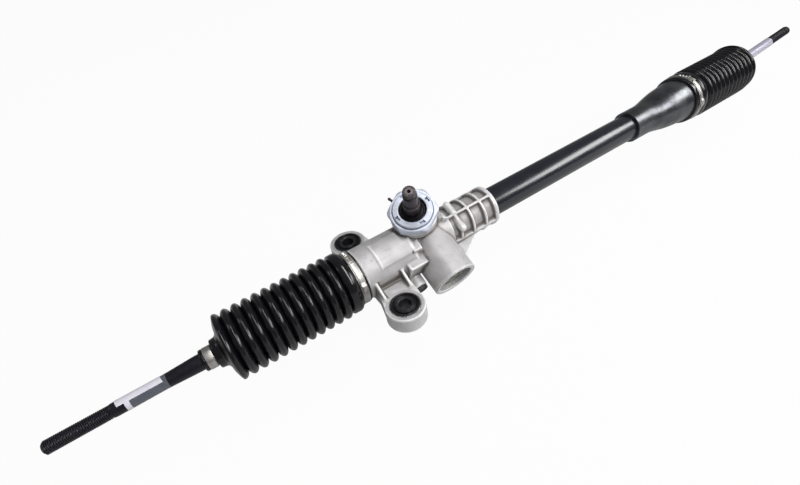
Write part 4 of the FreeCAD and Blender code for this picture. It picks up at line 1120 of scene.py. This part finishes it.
@dataclass
class BossCap:
    """The small dark cap on the casting's side boss, with a rim and a dished middle."""

    station: float = 32.0
    radius: float = 6.5
    reach: float = 41.0
    length: float = 3.0
    height: float = -7.5

    def build(self) -> None:
        """Make the cap."""
        middle = TOWER.point - self.station * TOWER.along + self.height * TOWER_UP
        seat = Seat.facing(middle, -TOWER_BACK, TOWER_UP)
        start, end, radius = self.reach - 1.0, self.reach + self.length, self.radius
        profile = eased([
            (start, 0.0), (start, radius), (end, radius), (end, radius - 1.6), (end - 1.2, radius - 2.2),
            (end - 1.2, 0.0),
        ], 0.4, 4, closed=False)
        cap = turned("boss_end_cap", profile, seat, CAP_RUBBER, steps=64, closed=False)
        dressed(cap, Body.HOUSING, "side_boss_cap")


@dataclass
class TowerPin:
    """The small dark pin that stands out beside the tower, with a waist and a round head."""

    station: float = 28.0
    angle: float = 16.4
    root: float = 19.0
    reach: float = 34.3
    radius: float = 1.5

    def build(self) -> None:
        """Make the pin: it points away from the pinion's axis, turned from the rear about it."""
        turn = math.radians(self.angle)
        sideways = np.cross(PINION_UP, TOWER_BACK)
        out = math.cos(turn) * TOWER_BACK + math.sin(turn) * sideways
        seat = Seat.facing(PINION.point + self.station * PINION_UP, out, PINION_UP)
        head, end, radius = self.reach - 3.2, self.reach, self.radius
        profile = eased([
            (self.root, 0.0), (self.root, radius), (head - 1.4, radius), (head - 1.0, radius - 0.35),
            (head - 0.2, radius - 0.35), (head, radius), (end - 0.9, radius), (end - 0.2, radius - 0.6),
            (end, 0.0),
        ], 0.35, 4, closed=False)
        pin = turned("tower_side_pin", profile, seat, PINION_STEEL, steps=48, closed=False)
        dressed(pin, Body.HOUSING, "tower_pin")


@dataclass
class RackTube:
    """The painted tube and the formed sleeve at its far end."""

    start: float = 94.0
    end: float = 480.4
    radius: float = 16.0
    bore: float = 13.0
    collar_start: float = 376.0
    collar_radius: float = 19.2
    flare_start: float = 403.0
    flare_end: float = 441.0
    flare_radius: float = 25.6
    mouth: float = 492.7
    mouth_radius: float = 28.0
    wall: float = 2.4

    def tube(self) -> bpy.types.Object:
        """The plain tube with eased rims."""
        profile = box_section(self.start, self.end, self.bore, self.radius, 0.4, 3)
        return turned("painted_rack_tube", profile, RACK, GLOSS_BLACK, steps=128)

    def outer_radius(self, station: np.ndarray) -> np.ndarray:
        """The sleeve's radius: a collar, then a flare that swells as a smooth step, then a slow taper."""
        rise = smooth_step((station - self.flare_start + 2) / (self.flare_end - self.flare_start + 8))
        taper = np.clip((station - self.flare_end) / (self.mouth - 20.5 - self.flare_end), 0, 1)
        flare, widening = self.flare_radius - self.collar_radius, self.mouth_radius - self.flare_radius
        return self.collar_radius + flare * rise + widening * taper

    def sleeve(self) -> bpy.types.Object:
        """The sleeve's outer skin, rolled rims and inner skin."""
        outside = np.linspace(self.collar_start + 0.5, self.mouth - 0.4, 120)
        shell = np.stack([outside, self.outer_radius(outside)], axis=1)
        inside, fit = outside[::-1], self.radius + 0.02
        lining = np.stack([inside, np.maximum(self.outer_radius(inside) - self.wall, fit)], axis=1)
        lip = np.array([(self.collar_start, fit), (self.collar_start - 0.05, self.collar_radius - 0.6)])
        profile = np.concatenate([shell, lining, lip])
        return turned("formed_end_sleeve", profile, RACK, SATIN_SLEEVE, steps=144)

    def build(self) -> None:
        """Make the tube and sleeve."""
        dressed(self.tube(), Body.HOUSING, "rack_tube")
        dressed(self.sleeve(), Body.HOUSING, "tube_end_sleeve")


@dataclass(frozen=True)
class GearEnd:
    """One end of the gear: its boot's lip, its ball joint, and how its tie rod stands.

    Lip and ball are places along X in millimetres. The rod is raised by the lift and
    turned to the rear by the swing, in degrees.
    """

    side: Side
    lip: float
    ball: float
    lift: float = 0.0
    swing: float = 0.0

    @property
    def name(self) -> str:
        """How the names of this end's pieces begin."""
        return self.side.value

    @property
    def rod(self) -> Body:
        """The body of this end's tie rod."""
        return Body.LEFT_ROD if self.side is Side.LEFT else Body.RIGHT_ROD

    @property
    def lip_seat(self) -> Seat:
        """The frame at the boot's lip, outwards along the rack's axis."""
        return outward(self.side, self.lip)

    @property
    def rod_seat(self) -> Seat:
        """The frame at the ball, outwards along the tie rod."""
        return outward(self.side, self.ball, self.lift, self.swing)

    @property
    def from_ball(self) -> float:
        """Where the lip lies from the ball, outwards."""
        return (self.lip - self.ball) * self.side.sign


@dataclass
class BellowsBoot:
    """A rubber bellows in two pieces that follow the rack and then the tie rod."""

    gear_end: GearEnd
    pitch: float
    seat_radius: float
    cuff_start: float
    band: tuple[float, float]
    steps: int = 128
    sharp: float = 60.0
    ridges: int = 12
    first: float = 31.3
    ridge_radius: float = 32.4
    valley_radius: float = 26.4
    wall: float = 1.5
    shoulder: float = 31.4
    cuff_wall: float = 2.1
    cuff_step: float = 2.2
    rod_grip: float = 7.75
    outer_ridges: int = 2

    @property
    def cuff_radius(self) -> float:
        """The large cuff's outer radius."""
        return self.seat_radius + self.cuff_step

    @property
    def start(self) -> float:
        """Where the first ridge begins, from the lip."""
        return self.first - self.pitch / 2

    @property
    def last(self) -> float:
        """Where the last ridge stands, from the lip."""
        return self.first + (self.ridges - 1) * self.pitch

    @property
    def split(self) -> float:
        """Where the part that follows the tie rod begins, from the lip."""
        return self.last - (self.outer_ridges - 0.5) * self.pitch

    def radius_at(self, place: np.ndarray) -> np.ndarray:
        """The outer radius along the ridges.

        Between ridges the radius is the valley's plus the height times the absolute cosine
        of half a turn per pitch, to the power 0.6: round crests and narrow valleys.
        """
        phase = (place - self.first) / self.pitch
        crest = np.abs(np.cos(math.pi * phase)) ** 0.6
        return self.valley_radius + (self.ridge_radius - self.valley_radius) * crest

    def shell(self, outer: np.ndarray, thickness: np.ndarray) -> np.ndarray:
        """A closed wall: the outer line and a line the thickness below it, run back."""
        inner = outer[::-1].copy()
        inner[:, 1] = np.maximum(inner[:, 1] - thickness[::-1], self.rod_grip)
        return np.concatenate([outer, inner])

    def inner_part(self) -> bpy.types.Object:
        """The large cuff, smooth shoulder and the ridges that follow the rack."""
        lip, radius, shoulder = self.cuff_start, self.cuff_radius, self.shoulder
        low, high = self.band
        cuff = eased([
            (lip, radius - 0.3), (lip + 0.4, radius + 0.4), (low - 0.5, radius + 0.4), (low - 0.2, radius),
            (high + 0.4, radius), (high + 1.0, radius + 1.7), (high + 2.6, shoulder - 0.9),
            (high + 4.8, shoulder), (24.2, shoulder - 0.2),
        ], 1.0, 5, closed=False)
        join = np.array([(25.2, shoulder - 1.2)] if self.start > 25.6 else []).reshape(-1, 2)
        steps = round((self.split - self.start) / self.pitch * 24)
        places = np.linspace(self.start, self.split, steps + 1)
        row = np.stack([places, self.radius_at(places)], axis=1)
        outer = np.concatenate([cuff, join, row])
        thick = np.interp(outer[:, 0], [high, high + 4.0], [self.cuff_wall, self.wall])
        seat = self.gear_end.lip_seat
        name = f"{self.gear_end.name}_bellows"
        return turned(name, self.shell(outer, thick), seat, BOOT_RUBBER, steps=self.steps, sharp=self.sharp)

    def outer_part(self) -> bpy.types.Object:
        """The last ridges, end wall, neck and small cuff that follow the tie rod.

        Its rows run from the gear's axis to the rod's: each row's frame is a blend of the
        two by the smooth step of its place between the split and the neck.
        """
        split, end = self.split, self.last
        places = np.linspace(split, end + 0.15 * self.pitch, self.outer_ridges * 22)
        row = np.stack([places, self.radius_at(places)], axis=1)
        wall = eased([
            tuple(row[-1]), (end + 2.4, 29.8), (end + 4.4, 24.0), (end + 5.4, 17.6), (end + 7.0, 14.9),
            (end + 8.4, 14.2), (end + 12.9, 13.6), (end + 13.3, 10.4), (end + 13.7, 9.7), (end + 21.4, 9.7),
            (end + 21.9, 10.3), (end + 24.2, 10.1), (end + 24.6, 9.2),
        ], 0.9, 5, closed=False)
        outer = np.concatenate([row, wall[1:]])
        thin = np.interp(outer[:, 0], [split, end + 6, end + 13, end + 24], [self.wall, 2.0, 1.9, 1.9])
        profile = self.shell(outer, thin)
        ring = rings(profile[:, 0:1], profile[:, 1:2], angles(self.steps))
        straight = self.gear_end.lip_seat.world(ring)
        swung = self.gear_end.rod_seat.moved(self.gear_end.from_ball).world(ring)
        weight = smooth_step((profile[:, 0] - split) / (end + 8 - split))[:, None, None]
        points = straight * (1 - weight) + swung * weight
        return skin(f"{self.gear_end.name}_boot_neck", points, True, True, BOOT_RUBBER, self.sharp)

    def build(self) -> None:
        """Make both parts, hide the imported boot, and bake their places into their meshes."""
        near, far = self.inner_part(), self.outer_part()
        for piece in (near, far):
            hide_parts(f"{self.gear_end.name}_boot")

        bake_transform(near)
        self.gear_end.rod.value
        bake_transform(far)
        log.info("boot %s bends over %d ridges", self.gear_end.name, self.ridges)


@dataclass
class BandClamp:
    """A steel band round a boot's large cuff, with tabs, a windowed buckle and a folded tail."""

    gear_end: GearEnd
    radius: float
    span: tuple[float, float]
    buckle_angle: float
    buckle_height: float
    thickness: float = 0.9
    tabs: int = 3
    first_tab: float = 13.5
    tab_pitch: float = 7.5

    def build(self) -> None:
        """Make the band, its raised edges, three tabs, the buckle's frame, and its tail with an ear.

        The right clamp is the left one's mirror image, so its angles run the other way. Every
        strip is given as its section, its first and last angle, its steps and its rise.
        """
        seat = self.gear_end.lip_seat
        hand, at = -self.gear_end.side.sign, self.buckle_angle
        low, high = self.span
        inner, outer = self.radius, self.radius + self.thickness
        band = eased([
            (low, inner), (high, inner), (high, outer - 0.1), (high - 0.7, outer),
            (high - 1.3, outer - 0.3), (low + 1.3, outer - 0.3), (low + 0.7, outer), (low, outer - 0.1),
        ], 0.25, 3)
        tab = box_section(low + 2.1, high - 2.1, inner + 0.2, outer + 0.15)
        bump = np.sin(np.linspace(0, math.pi, 13))
        cross = box_section(low + 0.5, high - 0.5, outer - 0.1, outer + self.buckle_height, 0.3)
        tail = box_section(low + 1.2, high - 1.2, outer - 0.05, outer + 0.5, 0.2)
        ear = 1.9 * np.exp(-((np.linspace(-1, 1, 49) - 0.55) / 0.26) ** 4)
        middles = [at + hand * (self.first_tab + self.tab_pitch * index) for index in range(self.tabs)]
        strips = [(tab, middle - 1.7, middle + 1.7, 12, bump) for middle in middles]
        for edge in (low + 0.3, high - 2.1):
            bar = box_section(edge, edge + 1.8, outer - 0.1, outer + 1.2, 0.3)
            strips.append((bar, at - 8, at + 8, 12, None))
        strips += [(cross, centre - 1.3, centre + 1.3, 4, None) for centre in (at - 7.2, at + 7.2)]
        strips.append((tail, at - hand * 12, at - hand * 80, 48, ear))
        parts = [turned("band", band, seat, CLAMP_STEEL, steps=160)]
        for section, first, last, steps, rise in strips:
            parts.append(curved_strip("strip", section, seat, first, last, CLAMP_STEEL, steps, rise))
        name = self.gear_end.name
        dressed(joined(f"{name}_boot_band", parts, CLAMP_STEEL), Body.HOUSING, f"{name}_large_clamp")


@dataclass
class SpringClamp:
    """The narrow band on a boot's small cuff, with its overlapping end."""

    gear_end: GearEnd
    start: float
    radius: float = 9.6
    width: float = 7.2
    thickness: float = 0.8

    def build(self) -> None:
        """Make the band and its lapped tongue."""
        seat = self.gear_end.rod_seat
        low, high = self.start, self.start + self.width
        outer = self.radius + self.thickness
        band = box_section(low, high, self.radius, outer, 0.3, 3)
        tongue = box_section(low + 0.6, high - 0.6, outer - 0.1, outer + 0.5, 0.2)
        parts = [
            turned("band", band, seat, CLAMP_STEEL, steps=96),
            curved_strip("tongue", tongue, seat, -30, 25, CLAMP_STEEL, 14),
        ]
        name = self.gear_end.name
        dressed(joined(f"{name}_neck_band", parts, CLAMP_STEEL), self.gear_end.rod, f"{name}_small_clamp")


@dataclass
class TieRod:
    """A tie rod with its ball, tapered shank and rolled thread, and the films wrapped on it."""

    gear_end: GearEnd
    length: float = 189.6
    ball_radius: float = 11.0
    neck_radius: float = 6.0
    radius: float = 7.65
    waist_radius: float = 7.1
    shank_radius: float = 6.3
    thread_start: float = 139.0
    thread_radius: float = 6.0

    def rod(self) -> bpy.types.Object:
        """The ball, neck, shank and thread in one turned skin.

        The ball's rows are radius times sine and cosine of an even angle, and the thread's
        rows follow its helix.
        """
        neck, end, thread_start = self.neck_radius, self.length, self.thread_start
        swing = np.linspace(math.pi, math.asin(neck / self.ball_radius), 28)
        ball = self.ball_radius * np.stack([np.cos(swing), np.sin(swing)], axis=1)
        ball[0, 1] = 0.0
        shank = eased([
            (ball[-1, 0], neck), (17.0, neck), *self.shank_line, (thread_start, 5.5),
        ], 3.0, 5, closed=False)
        thread = np.linspace(thread_start + 0.2, end - 1.5, 250)
        run = np.stack([thread, 0 * thread + self.thread_radius], axis=1)
        tip = eased([(end - 1.3, 5.3), (end, 4.3), (end, 1.6), (end - 1.0, 0.0)], 0.3, 3, closed=False)
        profile = np.concatenate([ball, shank[1:], run, tip])
        turn = angles(72)
        radii = profile[:, 1:2] + 0 * turn
        first = len(ball) + len(shank) - 1
        radii[first:first + len(run)] = threaded(
            run[:, 0:1], turn, self.thread_radius, 0.75, thread_start - 1.0, end - 0.6,
        )
        return turned(
            f"{self.gear_end.name}_rod_bar", profile, self.gear_end.rod_seat, ROD_BLACK, closed=False,
            radii=radii, around=turn, sharp=SOFT,
        )

    @property
    def shank_line(self) -> list[tuple[float, float]]:
        """The shank's outline: places from the ball and radii."""
        thick, thin, end = self.radius, self.shank_radius, self.thread_start - 2
        return [(20.0, thick), (66.0, thick), (78.0, self.waist_radius), (95.0, thin), (end, thin)]

    def film(
        self, name: str, start: float, end: float, low: float, high: float, finish: Finish, proud: float,
        slant: float = 0.0,
    ) -> bpy.types.Object:
        """A thin film laid on the shank over part of its girth.

        Point (i, j) lies at a place along the rod and an angle round it, a film's
        thickness above the rod; slant shears its ends by the angle. Where it doesn't reach
        all the way round, its long edges close midway between its outside and its inside.

        Args:
            name: the piece's name.
            start: nearest place from the ball in millimetres.
            end: farthest place.
            low: first angle in degrees.
            high: last angle.
            finish: its surface.
            proud: its thickness above the rod.
            slant: how far its ends run along the rod from low to high.

        Returns:
            The film.
        """
        whole = high - low >= 360
        around = np.radians(np.linspace(low, high, 97 if whole else 49))
        sheared = slant * (around - around[0]) / (around[-1] - around[0])
        place = start + (end - start) * np.linspace(0, 1, 61)[:, None] + sheared
        bare = np.interp(place, *np.transpose(self.shank_line))
        grid = np.concatenate([rings(place, bare + proud, around), rings(place, bare + 0.01, around)[::-1]])
        if whole:
            return skin(name, self.gear_end.rod_seat.world(grid[:, :-1]), True, True, finish, SOFT)
        edges = [(grid[:, [column]] + grid[::-1, [column]]) / 2 for column in (0, -1)]
        closing = np.concatenate([edges[0], grid, edges[1]], axis=1)
        return skin(name, self.gear_end.rod_seat.world(closing), True, False, finish, SOFT)

    def build(self) -> None:
        """Make the rod and its films."""
        dressed(self.rod(), self.gear_end.rod, f"{self.gear_end.name}_tie_rod")
        if self.gear_end.side is Side.LEFT:
            films = (
                ("rod_tape_wrap", 91.6, 125.0, 0, 360, TAPE_FILM, 0.10),
                ("rod_label_bare", 94.7, 132.2, 55, 150, LABEL_PAPER, 0.26, 1.5),
                ("rod_label_end", 122.5, 126.6, 0, 360, LABEL_PAPER, 0.20),
            )
        else:
            films = (("rod_silver_wrap", 76.0, 138.9, 0, 360, SILVER_FILM, 0.15),)
        for film in films:
            dressed(self.film(*film), self.gear_end.rod)


# What stays as packed


def dress_packed_nodes() -> None:
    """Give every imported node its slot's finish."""
    slots = {row["node"]: row["material_slot"] for row in frame["record"]["subparts"]}
    for name, node in frame["nodes"].items():
        finish = SLOT_FINISHES[slots[name]]
        node.data.materials.clear()
        node.data.materials.append(finish.material())


# Studio


@dataclass(frozen=True)
class Viewpoint:
    """The camera: its place in millimetres, its direction in degrees and its lens."""

    place: tuple[float, float, float] = (-118.575, -312.058, 343.913)
    azimuth: float = -26.0962
    elevation: float = 41.4645
    roll: float = 10.5345
    lens: float = 20.845
    sensor: float = 36.0
    clip: tuple[float, float] = (0.01, 20.0)

    def build(self) -> None:
        """Make the camera.

        Its forward direction comes from azimuth and elevation, and its right side is the
        level one turned by the roll towards down.
        """
        turn, drop, roll = (math.radians(x) for x in (self.azimuth, self.elevation, self.roll))
        reach = math.cos(drop)
        forward = Vector((-math.sin(turn) * reach, math.cos(turn) * reach, -math.sin(drop)))
        level = forward.cross(Vector((0, 0, 1))).normalized()
        down = forward.cross(level)
        right = math.cos(roll) * level + math.sin(roll) * down
        below = forward.cross(right)
        data = bpy.data.cameras.new("camera")
        data.lens = self.lens
        data.sensor_width = self.sensor
        data.clip_start, data.clip_end = self.clip
        camera = linked("camera", data)
        axes = Matrix((right, -below, -forward)).transposed()
        camera.matrix_world = Matrix.Translation(Vector(self.place) * MM) @ axes.to_4x4()
        bpy.context.scene.camera = camera


@dataclass(frozen=True)
class SoftBox:
    """One rectangular lamp: where it hangs, what it faces, its size and its power."""

    name: str
    place: tuple[float, float, float]
    aim: tuple[float, float, float]
    size: tuple[float, float]
    power: float

    def build(self) -> None:
        """Hang the lamp."""
        data = bpy.data.lights.new(self.name, "AREA")
        data.shape = "RECTANGLE"
        data.size, data.size_y = self.size
        data.energy = self.power
        lamp = linked(self.name, data)
        lamp.location = self.place
        lamp.rotation_euler = (Vector(self.aim) - Vector(self.place)).to_track_quat("-Z", "Y").to_euler()


@dataclass
class Studio:
    """A pale floor, an even white world and soft lamps."""

    floor_half: float = 9.0
    floor_drop: float = 0.032
    floor_shades: tuple[Colour, Colour] = ((0.55, 0.55, 0.55), (0.57, 0.57, 0.57))
    sky_colour: Colour = (0.95, 0.965, 1.0)
    sky_light: float = 0.14
    white_shares: tuple[tuple[str, float], ...] = (
        ("Is Camera Ray", 0.96), ("Is Glossy Ray", 0.08), ("Is Transmission Ray", 0.12),
    )
    boxes: tuple[SoftBox, ...] = (
        SoftBox("near_strip", (0.15, -0.50, 1.18), (0.15, 0, 0.05), (0.09, 1.8), 13.0),
        SoftBox("right_box", (1.25, -0.74, 0.86), (0.25, 0, 0.03), (1.1, 0.5), 17.0),
        SoftBox("left_box", (-1.2, 0.5, 1.0), (0.0, 0, 0), (0.3, 0.9), 1.5),
    )

    def whitened(self, nodes: Nodes, lit: bpy.types.NodeSocket, white: bpy.types.Node, output: str) -> None:
        """Show a lit shader, mixed with a white one by what kind of ray looks at it.

        Args:
            nodes: the tree's nodes.
            lit: the shader that answers to light.
            white: the node that glows white.
            output: the name of the tree's output node.
        """
        rays = nodes.add("ShaderNodeLightPath")
        share: object = 0.0
        for ray, part in self.white_shares:
            scaled = nodes.add("ShaderNodeMath", operation="MULTIPLY_ADD")
            for slot, source in enumerate((rays.outputs[ray], part, share)):
                nodes.feed(scaled.inputs[slot], source)
            share = scaled.outputs["Value"]
        white.inputs["Color"].default_value = (1.0, 1.0, 1.0, 1.0)
        white.inputs["Strength"].default_value = 1.0
        blend = nodes.add("ShaderNodeMixShader")
        for slot, source in enumerate((share, lit, white.outputs[0])):
            nodes.feed(blend.inputs[slot], source)
        nodes.feed(nodes.tree.nodes[output].inputs["Surface"], blend.outputs["Shader"])

    def floor(self, height: float) -> None:
        """A wide plane below the gear that looks white to the camera and keeps the shadow."""
        mesh, half = bpy.data.meshes.new("floor"), self.floor_half
        corners = [(x, y, height) for x, y in ((-half, -half), (half, -half), (half, half), (-half, half))]
        mesh.from_pydata(corners, [], [(0, 1, 2, 3)])
        recipe = Recipe("floor_white")
        grain = recipe.ranged(recipe.noise(60.0, 3.0), *FLOOR_RANGE)
        recipe.set_shader({
            "Base Color": recipe.mixed(grain, *self.floor_shades), "Roughness": 0.9,
            "Specular IOR Level": 0.1,
        })
        lit, white = recipe.shader.outputs["BSDF"], recipe.add("ShaderNodeEmission")
        self.whitened(recipe, lit, white, "Material Output")
        mesh.materials.append(recipe.material)
        linked("floor", mesh)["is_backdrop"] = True

    def sky(self) -> None:
        """A white world that is dimmer as light than as background."""
        world = bpy.data.worlds.new("studio_white")
        bpy.context.scene.world = world
        world.use_nodes = True
        world.node_tree.nodes.clear()
        nodes = Nodes(world.node_tree)
        light = nodes.add("ShaderNodeBackground")
        light.inputs["Color"].default_value = (*self.sky_colour, 1.0)
        light.inputs["Strength"].default_value = self.sky_light
        output = nodes.add("ShaderNodeOutputWorld")
        white = nodes.add("ShaderNodeBackground")
        self.whitened(nodes, light.outputs["Background"], white, output.name)

    def build(self, lowest: float) -> None:
        """Set the stage, with the floor below where the tie rods' tips come when they swing down."""
        self.floor(lowest - self.floor_drop)
        self.sky()
        for box in self.boxes:
            box.build()
        bpy.context.scene.view_settings.view_transform = "Standard"


def main() -> None:
    """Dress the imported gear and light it."""
    logging.basicConfig(level=logging.INFO, format="%(name)s: %(message)s")
    packed_box = [list(corner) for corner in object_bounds()]
    dress_packed_nodes()
    bushes = (MountingBush("front", -1), MountingBush("rear", 1))
    for assembly in (Casting(), *bushes, TowerFittings(), DamperPlug(), BossCap(), TowerPin(), RackTube()):
        assembly.build()
    left = GearEnd(Side.LEFT, lip=-13.3, ball=-113.0)
    right = GearEnd(Side.RIGHT, lip=471.0, ball=558.4, lift=3.0, swing=2.4)
    boots = (
        BellowsBoot(left, pitch=9.6, seat_radius=24.8, cuff_start=4.2, band=(6.2, 13.2)),
        BellowsBoot(right, pitch=8.64, seat_radius=28.0, cuff_start=0.8, band=(6.2, 12.4)),
    )
    for boot, buckle in zip(boots, ((82.0, 1.35), (107.0, 2.4))):
        boot.build()
        last_ridge = boot.last + boot.gear_end.from_ball
        BandClamp(boot.gear_end, boot.cuff_radius, boot.band, *buckle).build()
        SpringClamp(boot.gear_end, last_ridge + 13.9).build()
        TieRod(boot.gear_end).build()
        log.info("boot %s has its last ridge %.1f mm from the ball", boot.gear_end.name, last_ridge)
    Viewpoint().build()
    Studio().build(packed_box[0][2])


if __name__ == "__main__":
    main()
